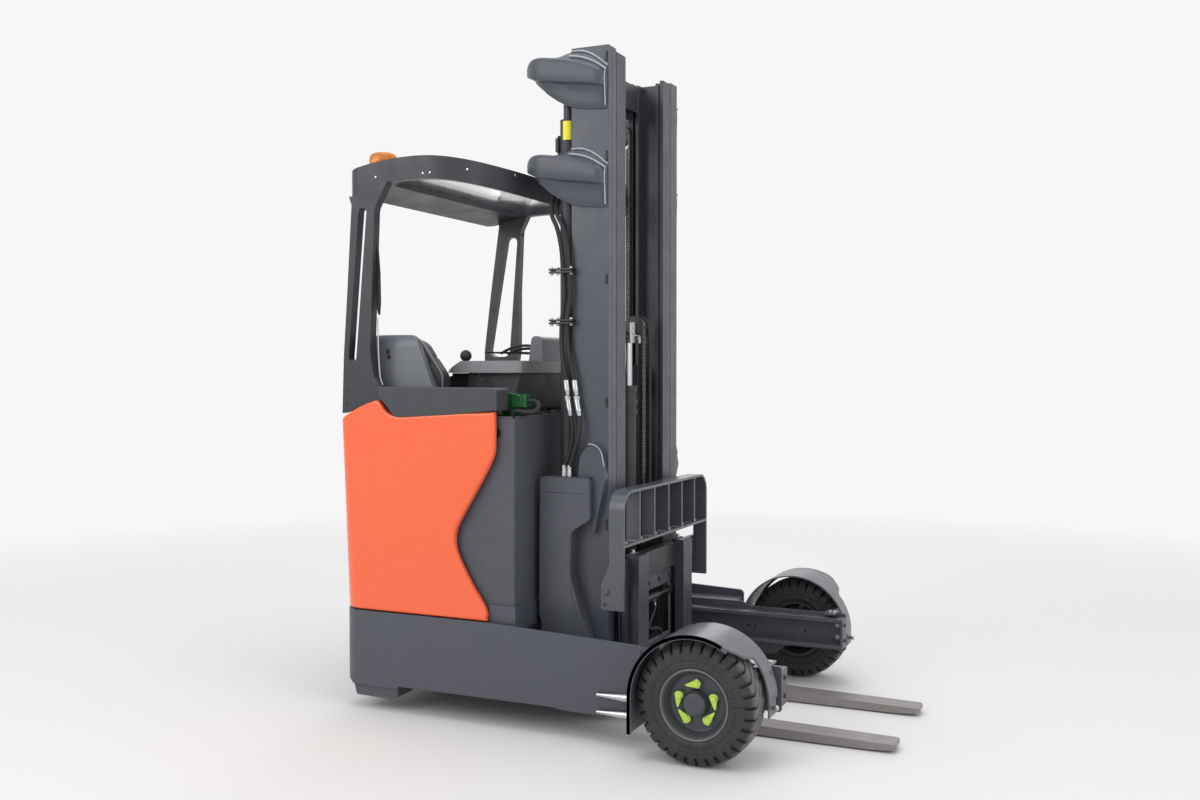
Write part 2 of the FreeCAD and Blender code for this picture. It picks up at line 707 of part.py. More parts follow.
def mast_ear():
    """Rounded plate on the upright that the carriage tower bolts to."""
    ear = side_plate([
        (-118, 735, 14), (-50, 735, 30), (-30, 830, 120), (0, 965, 60), (-18, 1062, 50), (-66, 1097, 36),
        (-110, 1050, 60), (-118, 963, 0)], -402, -outer_y)
    return ear.cut(block(-200, -56, -403, 1 - outer_y, 700, 963))


def build_mast():
    outer = channel(300, outer_y, -mast_depth, 0, 75, mast_top_z, web)
    outer = fuse([outer, mast_ear()])
    put("outer_mast_right", outer)
    put("outer_mast_left", mirror(outer))
    put("mast_yokes", [yoke(0), fuse([yoke(382), chain_bar()])])
    barrel = rod_z(barrel_x, -barrel_y, 130, barrel_top_z, barrel_radius)
    barrel = barrel.cut(rod_z(barrel_x, -barrel_y, 150, barrel_top_z + 1, barrel_radius - 5))
    put("lift_barrels", both(barrel))

    middle = channel(inner_edge_y, middle_y, -mast_depth, 0, 90, mast_top_z - 10, web)
    ties = [block(-176, -160, -285, 285, 2480, 2600), block(-176, -160, -285, 285, 140, 240)]
    arm = block(-215, -176, -352, 352, arm_z, arm_z + 60)
    rods = both(rod_z(barrel_x, -barrel_y, 170, arm_z, lift_rod_radius))
    sheaves = both(stage_sheave())
    put("middle_mast", fuse(both(middle) + ties + [arm] + rods + sheaves))
    put("stage_chains", both(stage_chain()))

    inner = channel(inner_edge_y, inner_y, -130, -22, 100, mast_top_z - 20, 14)
    ties = [block(-130, -120, -inner_edge_y, inner_edge_y, z, z + 110) for z in (110, 1300, 2510)]
    shelf = block(-120, -34, -inner_edge_y, inner_edge_y, 110, 124)
    anchors = both(block(-138.5, -130, -202, -172, 190, 260))
    put("inner_mast", fuse(both(inner) + ties + [shelf] + anchors))
    collars = [rod_z(lift_x, 0, z, z + 22, lift_radius + 5) for z in (1200, 1240, lift_barrel_z - 22)]
    barrel = fuse([rod_z(lift_x, 0, 124, lift_barrel_z, lift_radius)] + collars)
    put("free_lift_barrel", barrel.cut(rod_z(lift_x, 0, 150, lift_barrel_z + 1, lift_radius - 8)))


def stage_sheave():
    """Sheave of a main lift chain, in its hanger under the arm of the middle mast."""
    x, y, z = stage_sheave_x, -stage_sheave_y, stage_sheave_z
    wheel = rod_y(x, z, y - 13, y + 13, stage_sheave_radius)
    pin = rod_y(x, z, y - 25, y + 25, 9)
    cheeks = [block(x - 12, x + 12, y0, y0 + 6, z - 14, arm_z) for y0 in (y - 25, y + 19)]
    return fuse([wheel, pin] + cheeks)


def chain_run(x, z, radius, y0, y1, front_z, rear_z):
    """Chain laid over a sheave: a hoop with a straight run down each side."""
    outer = radius + chain_depth
    hoop = rod_y(x, z, y0, y1, outer).cut(rod_y(x, z, y0 - 1, y1 + 1, radius))
    hoop = hoop.cut(block(x - outer - 1, x + outer + 1, y0 - 1, y1 + 1, z - outer - 1, z))
    front = block(x + radius, x + outer, y0, y1, front_z, z)
    rear = block(x - outer, x - radius, y0, y1, rear_z, z)
    return fuse([hoop, front, rear])


def stage_chain():
    """Main lift chain, from the inner mast's foot over its sheave to the chain bar."""
    y = -stage_sheave_y
    return chain_run(stage_sheave_x, stage_sheave_z, stage_sheave_radius + 0.1, y - 15, y + 15, 230, chain_bar_z + 5)


def build_hoses():
    """Pressure hoses down the right-hand rear of the mast, and their clamps."""
    outer = [(-262, -304, 2149.5), (-262, -304, 2104), (-258, -352, 2050), (-244, -384, 2000), (-213, -394, 1950),
             (-194, -393, 1870), (-187, -395, 1776), (-178, -396, 1681), (-193, -396, 1575), (-194, -396, 1470),
             (-171, -397, 1342), (-160, -398, 1235), (-138, -400, 1145), (-152, -401, 1060), (-180, -401, 1002),
             (-180, -401, 963.5)]
    inner = [(-246, -280, 2149.5), (-246, -280, 2104), (-240, -342, 2045), (-224, -375, 2000), (-187, -389, 1950),
             (-166, -394, 1870), (-160, -395, 1776), (-152, -396, 1681), (-170, -396, 1575), (-166, -396, 1470),
             (-135, -397, 1342), (-121, -398, 1235), (-104, -408, 1160), (-132, -412, 1062), (-156, -402, 1002),
             (-156, -402, 963.5)]
    hoses = [hose_path(outer, hose_radius), hose_path(inner, hose_radius)]
    put("mast_hoses", hoses)
    clamps = []
    for z in (1768, 1567):
        jaws = [block(clamp_rear_x, clamp_front_x, -410, -380, z0, z0 + 7) for z0 in (z, z + 11)]
        foot = block(clamp_front_x - 18, clamp_front_x, -380, -outer_y, z, z + 18)
        spine = block(clamp_rear_x, clamp_rear_x + 18, -392, -380, z, z + 18)
        clamp = fuse(jaws + [foot, spine])
        for hose in hoses:
            clamp = clamp.cut(hose)
        clamps.append(clamp)
    put("hose_clamps", clamps)


def build_free_lift():
    """Piston rod with the crosshead that carries the fork chain's sheave and the fork hose."""
    head_top_z = lift_top_z + 30
    head = block(-104, -50, -40, 160, lift_top_z, head_top_z)
    rod = rod_z(lift_x, 0, 170, lift_top_z, lift_rod_radius)
    wheel = rod_y(sheave_x, sheave_z, chain_y - 14, chain_y + 14, sheave_radius)
    pin = rod_y(sheave_x, sheave_z, chain_y - 26, chain_y + 26, 9)
    cheeks = [block(sheave_x - 12, sheave_x + 12, y, y + 6, head_top_z, sheave_z + 16)
              for y in (chain_y - 26, chain_y + 20)]
    put("free_lift_rod", fuse([rod, head, wheel, pin] + cheeks))
    put("lift_chains", chain_run(sheave_x, sheave_z, sheave_radius + 0.1, chain_y - chain_width / 2,
                                 chain_y + chain_width / 2, shift_top_z, 1412))
    put("fork_hose", hose_path([
        (-94, 140, lift_top_z + 30.5), (-94, 140, 1580), (-74, 140, 1614), (-47, 139, 1590), (-37, 140, 1510), (-36, 141, 1390),
        (-35, 141, 1200), (-35, 140, 1000), (-35, 141, 800), (-35, 141, shift_top_z)], 7.5))


# ---------------------------------------------------------------- forks

def build_forks():
    side = block(-100, -6, -carriage_y, -carriage_y + 14, 130, shift_top_z)
    plates = [block(-22, -6, -carriage_y, carriage_y, z, z + 100) for z in (150, bar_z)]
    plates.append(block(-6, 6, -carriage_y, carriage_y, bar_z, bar_z + bar_height))
    bar = block(6, 17, -frame_y, frame_y, bar_z, bar_z + bar_height)
    wheels = []
    for z in (180, 590):
        wheels.append(rod_y(-76, z, -250, -212, 35))
        wheels.append(rod_y(-76, z, -212, -carriage_y, 14))
    lug = block(17, tilt_x + 4, -238, -206, tilt_z - 14, tilt_z + 14)
    hinge_pin = rod_y(tilt_x, tilt_z, -262, -238, 5)
    right = wheels + [lug, hinge_pin]
    put("fork_carriage", fuse(both(side) + plates + [bar] + right + [mirror(w) for w in right]))

    sheet_x = 24
    front = [block(sheet_x, sheet_x + 8, -frame_y, frame_y, z0, z1) for z0, z1 in ((480, 620), (150, 230))]
    front += both(block(sheet_x, sheet_x + 8, -frame_y, -230, 230, 480))
    sheet = fuse(front)
    for notch in both(block(20, 40, -266, -200, tilt_z - 20, tilt_z + 20)):
        sheet = sheet.cut(notch)
    knuckle = rod_y(tilt_x, tilt_z, -266, -242, 9).cut(rod_y(tilt_x, tilt_z, -263, -241, 5.2))
    put("tilt_frame", fuse([sheet] + both(knuckle)))

    top = block(shift_rear_x, shift_front_x, -464, 464, 540, shift_top_z)
    low = block(shift_rear_x, shift_front_x, -frame_y, frame_y, 170, 240)
    sides = both(block(shift_rear_x, shift_front_x, -frame_y, -310, 240, 540))
    hook = block(sheet_x, shift_rear_x, -220, 220, 620.3, shift_top_z)
    pads = [block(32.3, shift_rear_x, -250, 250, z, z + 30) for z in (585, 190)]
    put("side_shift_frame", fuse([top, low, hook] + sides + pads))
    put("load_backrest", backrest())
    fork = fork_arm()
    put("fork_right", fork)
    put("fork_left", mirror(fork))


def backrest():
    """Flat hoop with a lower rail, uprights between them, and two feet."""
    edge = backrest_bar
    inner_y = backrest_y - edge
    inner_z = backrest_top_z - edge
    rail_z = 705
    outer = front_plate([
        (-backrest_y, backrest_foot_z, 4), (-backrest_y, backrest_top_z, 80), (backrest_y, backrest_top_z, 80),
        (backrest_y, backrest_foot_z, 4), (inner_y, backrest_foot_z, 4), (inner_y, inner_z, 70),
        (-inner_y, inner_z, 70), (-inner_y, backrest_foot_z, 4)], backrest_rear_x, backrest_front_x)
    bars = [block(52, backrest_front_x, y - 5, y + 5, rail_z + edge, inner_z) for y in (-312, -156, 0, 156, 312)]
    rail_bar = block(52, backrest_front_x, -inner_y, inner_y, rail_z, rail_z + edge)
    feet = both(side_plate([
        (14, backrest_foot_z, 14), (backrest_front_x, backrest_foot_z, 4), (backrest_front_x, shift_top_z, 0),
        (backrest_rear_x, shift_top_z, 0), (14, 560, 30)], -backrest_y, -inner_y))
    frame = fuse([outer, rail_bar] + bars + feet)
    return frame.cut(rod_y(30, 484, -480, 480, 8))


def fork_arm():
    """Bent fork: upright shank with its hook, and tapered blade."""
    top_z = fork_bottom_z + fork_thickness
    shank_x = fork_heel_x + fork_thickness
    profile = side_plate([
        (fork_heel_x, fork_bottom_z, 30), (1000, fork_bottom_z, 0), (fork_tip_x, 14, 8), (fork_tip_x, 34, 6),
        (400, top_z, 0), (shank_x, top_z, 22), (shank_x, 650, 8), (fork_heel_x, 650, 6)],
        -fork_outer_y, -fork_inner_y)
    plan = flat_plate([
        (50, -fork_outer_y, 0), (fork_tip_x, -fork_outer_y, 18), (fork_tip_x, -fork_inner_y, 18),
        (50, -fork_inner_y, 0)], 0, 700)
    hook = block(42, fork_heel_x + 2, -292, -211, shift_top_z, shift_top_z + 14)
    return fuse([profile.common(plan), hook])


os.makedirs("parts", exist_ok=True)
build_legs()
build_load_wheels()
build_base()
build_connector()
build_drive()
build_body()
build_guard()
build_cab()
build_carriage()
build_mast()
build_hoses()
build_free_lift()
build_forks()
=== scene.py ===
import bpy
import bmesh
import math
from mathutils import Matrix, Vector


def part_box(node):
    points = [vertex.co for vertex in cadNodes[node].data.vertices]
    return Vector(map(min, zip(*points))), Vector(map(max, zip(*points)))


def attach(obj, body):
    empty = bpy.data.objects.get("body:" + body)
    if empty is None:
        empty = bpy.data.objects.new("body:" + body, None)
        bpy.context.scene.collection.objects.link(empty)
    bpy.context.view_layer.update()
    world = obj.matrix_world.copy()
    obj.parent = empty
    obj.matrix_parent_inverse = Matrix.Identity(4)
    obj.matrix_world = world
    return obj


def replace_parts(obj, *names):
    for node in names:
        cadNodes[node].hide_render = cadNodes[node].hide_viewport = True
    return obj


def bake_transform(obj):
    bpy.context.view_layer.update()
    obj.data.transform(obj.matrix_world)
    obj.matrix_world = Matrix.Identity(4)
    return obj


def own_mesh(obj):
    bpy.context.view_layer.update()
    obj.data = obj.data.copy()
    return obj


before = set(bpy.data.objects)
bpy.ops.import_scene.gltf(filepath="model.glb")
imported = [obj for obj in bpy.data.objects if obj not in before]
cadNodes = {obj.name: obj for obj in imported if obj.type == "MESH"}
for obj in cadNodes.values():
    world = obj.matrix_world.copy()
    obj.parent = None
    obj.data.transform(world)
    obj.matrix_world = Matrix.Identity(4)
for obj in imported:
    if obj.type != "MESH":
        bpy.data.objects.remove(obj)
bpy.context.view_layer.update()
print("frame loaded:", len(cadNodes), "nodes")

viewFrom = {
    "place": (1.8766, -4.5555, 1.3712),
    "turn": 24.577,          # degrees from looking along +Y
    "down": 1.291,
    "lens": 35.2,
}

studio = {
    "floorColour": (0.80, 0.80, 0.80),
    "backColour": (0.93, 0.93, 0.93),
    "floorFade": (2.2, 7.0),     # distances over which the floor turns into the background
    "worldLevel": 0.70,
    # name, place, what it points at, size, watts
    "lamps": [
        ("lampTop", (0.3, -0.6, 5.8), (0.0, 0.0, 1.0), 4.5, 100),
        ("lampLeft", (-2.8, -4.6, 3.6), (-0.2, 0.0, 1.1), 3.0, 72),
        ("lampRight", (4.6, -2.0, 2.8), (0.0, 0.0, 1.0), 2.6, 30),
        ("lampBack", (-1.5, 4.2, 3.6), (0.0, 0.0, 1.2), 3.0, 42),
    ],
}


def place(thing):
    bpy.context.scene.collection.objects.link(thing)
    return thing


def makeCamera():
    data = bpy.data.cameras.new("camera")
    data.lens = viewFrom["lens"]
    data.sensor_width = 36
    camera = place(bpy.data.objects.new("camera", data))
    camera.location = viewFrom["place"]
    camera.rotation_euler = (math.radians(90 - viewFrom["down"]), 0, math.radians(viewFrom["turn"]))
    bpy.context.scene.camera = camera


def makeLamps():
    for name, spot, target, size, watts in studio["lamps"]:
        data = bpy.data.lights.new(name, "AREA")
        data.energy = watts
        data.size = size
        lamp = place(bpy.data.objects.new(name, data))
        lamp.location = spot
        lamp.rotation_euler = (Vector(target) - Vector(spot)).to_track_quat("-Z", "Y").to_euler()


def makeWorld():
    world = bpy.data.worlds.new("studio")
    world.use_nodes = True
    tree = world.node_tree
    tree.nodes.clear()
    out = tree.nodes.new("ShaderNodeOutputWorld")
    lit = addNode(tree, "Background", {"Color": (1, 1, 1, 1), "Strength": studio["worldLevel"]})
    seen = addNode(tree, "Background", {"Color": (*studio["backColour"], 1)})
    path = addNode(tree, "LightPath")
    seenBy = maths(tree, "MAXIMUM", path.outputs["Is Camera Ray"], path.outputs["Is Glossy Ray"])
    seenBy = maths(tree, "MAXIMUM", seenBy, path.outputs["Is Transmission Ray"])
    mix = addNode(tree, "MixShader", {"Fac": seenBy})
    tree.links.new(lit.outputs[0], mix.inputs[1])
    tree.links.new(seen.outputs[0], mix.inputs[2])
    tree.links.new(mix.outputs[0], out.inputs[0])
    bpy.context.scene.world = world


def makeFloor():
    mesh = bpy.data.meshes.new("floor")
    half = 30
    mesh.from_pydata([(-half, -half, 0), (half, -half, 0), (half, half, 0), (-half, half, 0)], [],
                     [(0, 1, 2, 3)])
    floor = place(bpy.data.objects.new("floor", mesh))
    material, tree, shader = newMaterial("floorPaint")
    shader.inputs["Base Color"].default_value = (*studio["floorColour"], 1)
    shader.inputs["Roughness"].default_value = 0.75
    glow = addNode(tree, "Emission", {"Color": studio["backColour"]})
    reach = addNode(tree, "VectorMath", {0: objectPoint(tree)}, operation="LENGTH").outputs["Value"]
    mix = addNode(tree, "MixShader", {"Fac": remap(tree, reach, *studio["floorFade"], 0.0, 1.0)})
    tree.links.new(shader.outputs[0], mix.inputs[1])
    tree.links.new(glow.outputs[0], mix.inputs[2])
    tree.links.new(mix.outputs[0], next(n for n in tree.nodes if n.type == "OUTPUT_MATERIAL").inputs[0])
    mesh.materials.append(material)


def newMaterial(name):
    material = bpy.data.materials.new(name)
    material.use_nodes = True
    tree = material.node_tree
    tree.nodes.clear()
    out = tree.nodes.new("ShaderNodeOutputMaterial")
    shader = tree.nodes.new("ShaderNodeBsdfPrincipled")
    tree.links.new(shader.outputs[0], out.inputs[0])
    return material, tree, shader


def addNode(tree, kind, inputs=None, **settings):
    node = tree.nodes.new("ShaderNode" + kind)
    for name, value in settings.items():
        setattr(node, name, value)
    for name, value in (inputs or {}).items():
        plug(tree, value, node.inputs[name])
    return node


# Links a socket, or sets a plain number or colour.
def plug(tree, value, socket):
    if isinstance(value, bpy.types.NodeSocket):
        tree.links.new(value, socket)
    elif socket.type == "RGBA":
        socket.default_value = (*value[:3], 1)
    else:
        socket.default_value = value


def objectPoint(tree, stretch=None):
    point = addNode(tree, "TexCoord").outputs["Object"]
    if stretch is None:
        return point
    return addNode(tree, "Mapping", {"Vector": point, "Scale": stretch}).outputs[0]


def noiseFac(tree, scale, detail=3.0, stretch=None):
    return addNode(tree, "TexNoise", {"Vector": objectPoint(tree, stretch), "Scale": scale,
                                      "Detail": detail}).outputs["Fac"]


def remap(tree, value, low, high, toLow, toHigh):
    return addNode(tree, "MapRange", {"Value": value, "From Min": low, "From Max": high, "To Min": toLow,
                                      "To Max": toHigh}).outputs[0]


def mixColour(tree, fac, first, second):
    node = addNode(tree, "Mix", data_type="RGBA")
    plug(tree, fac, node.inputs[0])
    plug(tree, first, node.inputs[6])
    plug(tree, second, node.inputs[7])
    return node.outputs[2]


def maths(tree, operation, first, second=0.0):
    node = addNode(tree, "Math", operation=operation)
    plug(tree, first, node.inputs[0])
    plug(tree, second, node.inputs[1])
    return node.outputs[0]


# Normal that rounds sharp edges, and a mask that is 1 on them.
def roundedEdges(tree, radius):
    bevel = addNode(tree, "Bevel", {"Radius": radius}, samples=4)
    geometry = addNode(tree, "NewGeometry")
    dot = addNode(tree, "VectorMath", operation="DOT_PRODUCT")
    tree.links.new(bevel.outputs[0], dot.inputs[0])
    tree.links.new(geometry.outputs["Normal"], dot.inputs[1])
    return bevel.outputs[0], remap(tree, dot.outputs["Value"], 0.985, 0.88, 0.0, 1.0)


def shades(colour, spread):
    return tuple(c * (1 - spread) for c in colour), tuple(min(1, c * (1 + spread)) for c in colour)


# One row per finish: base colour, how much it varies, roughness, grain size per metre, grain height,
# radius that sharp edges are rounded to, colour sharp edges are lightened to (wear and painted highlight),
# how strongly, and what else it has.
finishes = {
    "slatePaint": ((0.076, 0.083, 0.101), 0.07, 0.4, 380, 0.0001, 0.0022, (0.3, 0.31, 0.33), 0.3, {}),
    # The slate paint darkened for the outer masts and yokes: painted shade.
    "mastPaintShaded": ((0.062, 0.069, 0.086), 0.06, 0.36, 300, 0.00008, 0.0022, (0.34, 0.35, 0.36), 0.35, {}),
    # Darker copy of the mast paint for the middle and inner masts: painted shade.
    "stagePaintShaded": ((0.036, 0.04, 0.05), 0.06, 0.36, 300, 0.00008, 0.0022, (0.34, 0.35, 0.36), 0.35, {}),
    # The guard's slate paint is darkened as painted shade, and goes near-black on faces that look down as
    # painted shade under the guard.
    "guardPaintShaded": ((0.034, 0.037, 0.045), 0.08, 0.42, 420, 0.00012, 0.003, (0.22, 0.23, 0.25), 0.2,
                   {"under": (0.014, 0.015, 0.018)}),
    "fenderPaint": ((0.105, 0.112, 0.13), 0.05, 0.3, 300, 0.00008, 0.0012, (0.03, 0.03, 0.03), 0.0, {}),
    "towerPaint": ((0.078, 0.085, 0.102), 0.07, 0.4, 380, 0.0001, 0.0022, (0.28, 0.29, 0.31), 0.35, {}),
    # Welds in near-white grey: bead colour with a painted highlight of the bright streaks along their tops.
    "weldBeadHighlight": ((0.42, 0.43, 0.46), 0.25, 0.28, 900, 0.00015, 0.0005, (0.4, 0.4, 0.42), 0.3, {}),
    # The rim's lip is lighter than the rim paint and has bright edges: painted highlight of the flange's
    # reflection.
    "rimLip": ((0.16, 0.165, 0.175), 0.25, 0.26, 700, 0.00008, 0.0008, (0.6, 0.6, 0.6), 0.5, {"metal": 0.4}),
    "framePaint": ((0.092, 0.099, 0.114), 0.08, 0.24, 300, 0.0001, 0.002, (0.3, 0.31, 0.33), 0.4, {}),
    "darkPaint": ((0.03, 0.032, 0.037), 0.12, 0.45, 400, 0.00012, 0.0018, (0.16, 0.16, 0.17), 0.25, {}),
    "orangeCover": ((0.95, 0.134, 0.036), 0.01, 0.26, 60, 0.00004, 0.003, (1.0, 0.32, 0.16), 0.1,
                    {"coat": 0.45}),
    "batteryPaint": ((0.08, 0.087, 0.102), 0.16, 0.58, 900, 0.00025, 0.004, (0.22, 0.22, 0.23), 0.45, {}),
    "rimPaint": ((0.06, 0.064, 0.074), 0.08, 0.38, 500, 0.0001, 0.0016, (0.4, 0.41, 0.43), 0.55, {}),
    "shellPlastic": ((0.15, 0.16, 0.18), 0.05, 0.34, 1500, 0.00008, 0.008, (0.46, 0.48, 0.52), 0.6, {}),
    "cabPlastic": ((0.05, 0.052, 0.06), 0.06, 0.5, 1800, 0.00012, 0.008, (0.24, 0.25, 0.27), 0.5, {}),
    # Console plastic lightened to stand in for the gloss reflection on its top: painted reflection. It turns
    # black above 1.4702 m for the knob.
    "consolePlasticAndSheen": ((0.27, 0.265, 0.285), 0.1, 0.3, 1600, 0.0001, 0.004, (0.3, 0.3, 0.32), 0.2,
                       {"above": (1.4702, (0.018, 0.018, 0.02))}),
    "blackRubber": ((0.016, 0.016, 0.017), 0.15, 0.62, 1400, 0.00015, 0.0012, (0.06, 0.06, 0.06), 0.2, {}),
    "darkPlastic": ((0.022, 0.023, 0.026), 0.12, 0.36, 1200, 0.00006, 0.001, (0.12, 0.12, 0.13), 0.3, {}),
    "castIron": ((0.04, 0.041, 0.044), 0.15, 0.6, 700, 0.0004, 0.003, (0.14, 0.14, 0.14), 0.3, {}),
    "forkSteel": ((0.27, 0.244, 0.24), 0.12, 0.44, 260, 0.00012, 0.0018, (0.5, 0.48, 0.46), 0.5,
                  {"metal": 0.25, "streaks": (4, 160, 60), "above": (0.062, (0.062, 0.068, 0.084))}),
    "screenGlass": ((0.01, 0.012, 0.016), 0.1, 0.08, 300, 0.00001, 0.0008, (0.1, 0.1, 0.12), 0.1, {}),
    "blackPaint": ((0.014, 0.015, 0.018), 0.12, 0.42, 500, 0.0001, 0.002, (0.1, 0.1, 0.11), 0.25, {}),
    "brightSteel": ((0.56, 0.56, 0.57), 0.08, 0.24, 900, 0.00003, 0.0008, (0.8, 0.8, 0.8), 0.3,
                    {"metal": 1.0, "streaks": (300, 300, 3)}),
    "zincPlate": ((0.55, 0.54, 0.5), 0.12, 0.36, 1200, 0.00004, 0.0006, (0.8, 0.8, 0.78), 0.4,
                  {"metal": 1.0}),
    # Chain plates get strongly lightened edges: partly wear, partly a painted highlight.
    "oiledSteel": ((0.085, 0.08, 0.075), 0.2, 0.3, 900, 0.00008, 0.0005, (0.5, 0.5, 0.5), 0.55,
                   {"metal": 0.8}),
    "limePlastic": ((0.56, 0.8, 0.1), 0.05, 0.4, 900, 0.00004, 0.0008, (0.8, 0.95, 0.35), 0.3, {}),
    "greenPlastic": ((0.008, 0.105, 0.024), 0.1, 0.32, 900, 0.00004, 0.0015, (0.1, 0.42, 0.16), 0.3, {}),
    "yellowLabel": ((0.86, 0.8, 0.04), 0.04, 0.4, 500, 0.00003, 0.0004, (0.9, 0.85, 0.3), 0.2, {}),
    "whitePlastic": ((0.62, 0.62, 0.6), 0.05, 0.35, 900, 0.00004, 0.001, (0.8, 0.8, 0.8), 0.2, {}),
}

materials = {}


def addBump(tree, shader, height, distance, strength, normal=None):
    inputs = {"Height": height, "Distance": distance, "Strength": strength}
    if normal:
        inputs["Normal"] = normal
    plug(tree, addNode(tree, "Bump", inputs).outputs[0], shader.inputs["Normal"])


def makeFinish(name):
    colour, spread, rough, grain, grainHeight, edge, wearAndGlintColour, wearAndGlintLevel, more = finishes[name]
    material, tree, shader = newMaterial(name)
    low, high = shades(colour, spread)
    clouds = mixColour(tree, noiseFac(tree, 2.3, 4.0), low, high)
    mottle = remap(tree, noiseFac(tree, 34.0, 5.0), 0.35, 0.65, 0.0, 1.0)
    body = mixColour(tree, maths(tree, "MULTIPLY", mottle, 0.35), clouds, shades(colour, spread * 1.6)[0])
    # Faces that look down turn darker: painted shade.
    if "under" in more:
        facing = addNode(tree, "SeparateXYZ", {0: addNode(tree, "NewGeometry").outputs["Normal"]}).outputs[2]
        body = mixColour(tree, remap(tree, facing, -0.3, -0.8, 0.0, 1.0), body, more["under"])
    if "above" in more:
        level, upper = more["above"]
        z = addNode(tree, "SeparateXYZ", {0: objectPoint(tree)}).outputs[2]
        body = mixColour(tree, remap(tree, z, level - 0.002, level + 0.002, 0.0, 1.0), body, upper)
    smooth, edges = roundedEdges(tree, edge)
    # Sharp edges are lightened: partly paint worn off, partly a painted highlight of the light they catch.
    broken = remap(tree, noiseFac(tree, 90.0, 4.0), 0.40, 0.62, 0.25, 1.0)
    mask = maths(tree, "MULTIPLY", maths(tree, "MULTIPLY", edges, broken), wearAndGlintLevel)
    plug(tree, mixColour(tree, mask, body, wearAndGlintColour), shader.inputs["Base Color"])
    gloss = remap(tree, noiseFac(tree, 11.0, 5.0), 0.3, 0.7, rough - 0.06, rough + 0.08)
    if "streaks" in more:
        fine = remap(tree, noiseFac(tree, 1.0, 6.0, more["streaks"]), 0.3, 0.7, -0.10, 0.12)
        gloss = maths(tree, "ADD", gloss, fine)
    plug(tree, gloss, shader.inputs["Roughness"])
    shader.inputs["Metallic"].default_value = more.get("metal", 0.0)
    if "coat" in more:
        shader.inputs["Coat Weight"].default_value = more["coat"]
        shader.inputs["Coat Roughness"].default_value = 0.12
    addBump(tree, shader, noiseFac(tree, float(grain), 2.0), grainHeight, 1.0, smooth)
    materials[name] = material


# Black side walls that turn lighter grey on the tread.
def makeTyreRubber(name, axle, tyreRadius):
    material, tree, shader = newMaterial(name)
    point = addNode(tree, "VectorMath", {0: objectPoint(tree), 1: (axle[0], 0, axle[2])},
                    operation="SUBTRACT")
    flat = addNode(tree, "VectorMath", {0: point.outputs[0], 1: (1, 0, 1)}, operation="MULTIPLY")
    reach = addNode(tree, "VectorMath", {0: flat.outputs[0]}, operation="LENGTH").outputs["Value"]
    onTread = remap(tree, reach, tyreRadius - 0.012, tyreRadius - 0.002, 0.0, 1.0)
    patches = remap(tree, noiseFac(tree, 26.0, 6.0), 0.35, 0.7, 0.35, 1.0)
    walls = mixColour(tree, noiseFac(tree, 9.0, 5.0), (0.018, 0.018, 0.018), (0.040, 0.039, 0.039))
    colour = mixColour(tree, maths(tree, "MULTIPLY", onTread, patches), walls, (0.200, 0.195, 0.195))
    plug(tree, colour, shader.inputs["Base Color"])
    plug(tree, remap(tree, noiseFac(tree, 30.0, 4.0), 0.3, 0.7, 0.50, 0.72), shader.inputs["Roughness"])
    smooth, _ = roundedEdges(tree, 0.0012)
    rings = addNode(tree, "TexWave",
                    {"Vector": flat.outputs[0], "Scale": 36.0, "Distortion": 0.4, "Detail": 1.0},
                    wave_type="RINGS", rings_direction="SPHERICAL")
    fine = maths(tree, "ADD", maths(tree, "MULTIPLY", rings.outputs["Fac"], 0.5), noiseFac(tree, 700.0, 3.0))
    addBump(tree, shader, fine, 0.0005, 0.8, smooth)
    materials[name] = material


# Black seat cover with a fine leather grain.
def makeVinyl(name):
    material, tree, shader = newMaterial(name)
    plug(tree, mixColour(tree, noiseFac(tree, 7.0, 5.0), (0.018, 0.018, 0.020), (0.036, 0.036, 0.040)),
         shader.inputs["Base Color"])
    cells = addNode(tree, "TexVoronoi", {"Vector": objectPoint(tree), "Scale": 620.0},
                    feature="DISTANCE_TO_EDGE")
    creases = noiseFac(tree, 60.0, 6.0)
    height = maths(tree, "ADD", maths(tree, "MULTIPLY", cells.outputs["Distance"], 1.4),
                   maths(tree, "MULTIPLY", creases, 0.7))
    addBump(tree, shader, height, 0.0007, 0.7)
    plug(tree, remap(tree, creases, 0.3, 0.7, 0.40, 0.58), shader.inputs["Roughness"])
    shader.inputs["Sheen Weight"].default_value = 0.08
    materials[name] = material


# Clear or tinted sheet, lightly scuffed.
def makeClear(name, colour, rough, alpha):
    material, tree, shader = newMaterial(name)
    plug(tree, mixColour(tree, noiseFac(tree, 5.0, 4.0), *shades(colour, 0.06)), shader.inputs["Base Color"])
    plug(tree, remap(tree, noiseFac(tree, 18.0, 5.0), 0.3, 0.7, rough, rough + 0.12),
         shader.inputs["Roughness"])
    shader.inputs["Transmission Weight"].default_value = alpha
    shader.inputs["IOR"].default_value = 1.49
    scuffs = noiseFac(tree, 40.0, 3.0, (1.0, 3.0, 1.0))
    addBump(tree, shader, scuffs, 0.00005, 0.2)
    materials[name] = material


# Puts a finished mesh in the scene, on its body.
def finishMesh(name, mesh, material, body, smooth=30.0):
    mesh.validate()
    mesh.materials.append(materials[material])
    piece = place(bpy.data.objects.new(name, mesh))
    if smooth:
        mesh.shade_smooth()
        mesh.set_sharp_from_angle(angle=math.radians(smooth))
    if body:
        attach(piece, body)
    return piece


def fromBmesh(name, bm, material, body, smooth=30.0):
    bmesh.ops.recalc_face_normals(bm, faces=bm.faces)
    mesh = bpy.data.meshes.new(name)
    bm.to_mesh(mesh)
    bm.free()
    return finishMesh(name, mesh, material, body, smooth)


# Rotation that takes +Z to the axis.
def turnTo(axis):
    return Vector((0, 0, 1)).rotation_difference(Vector(axis)).to_matrix().to_4x4()


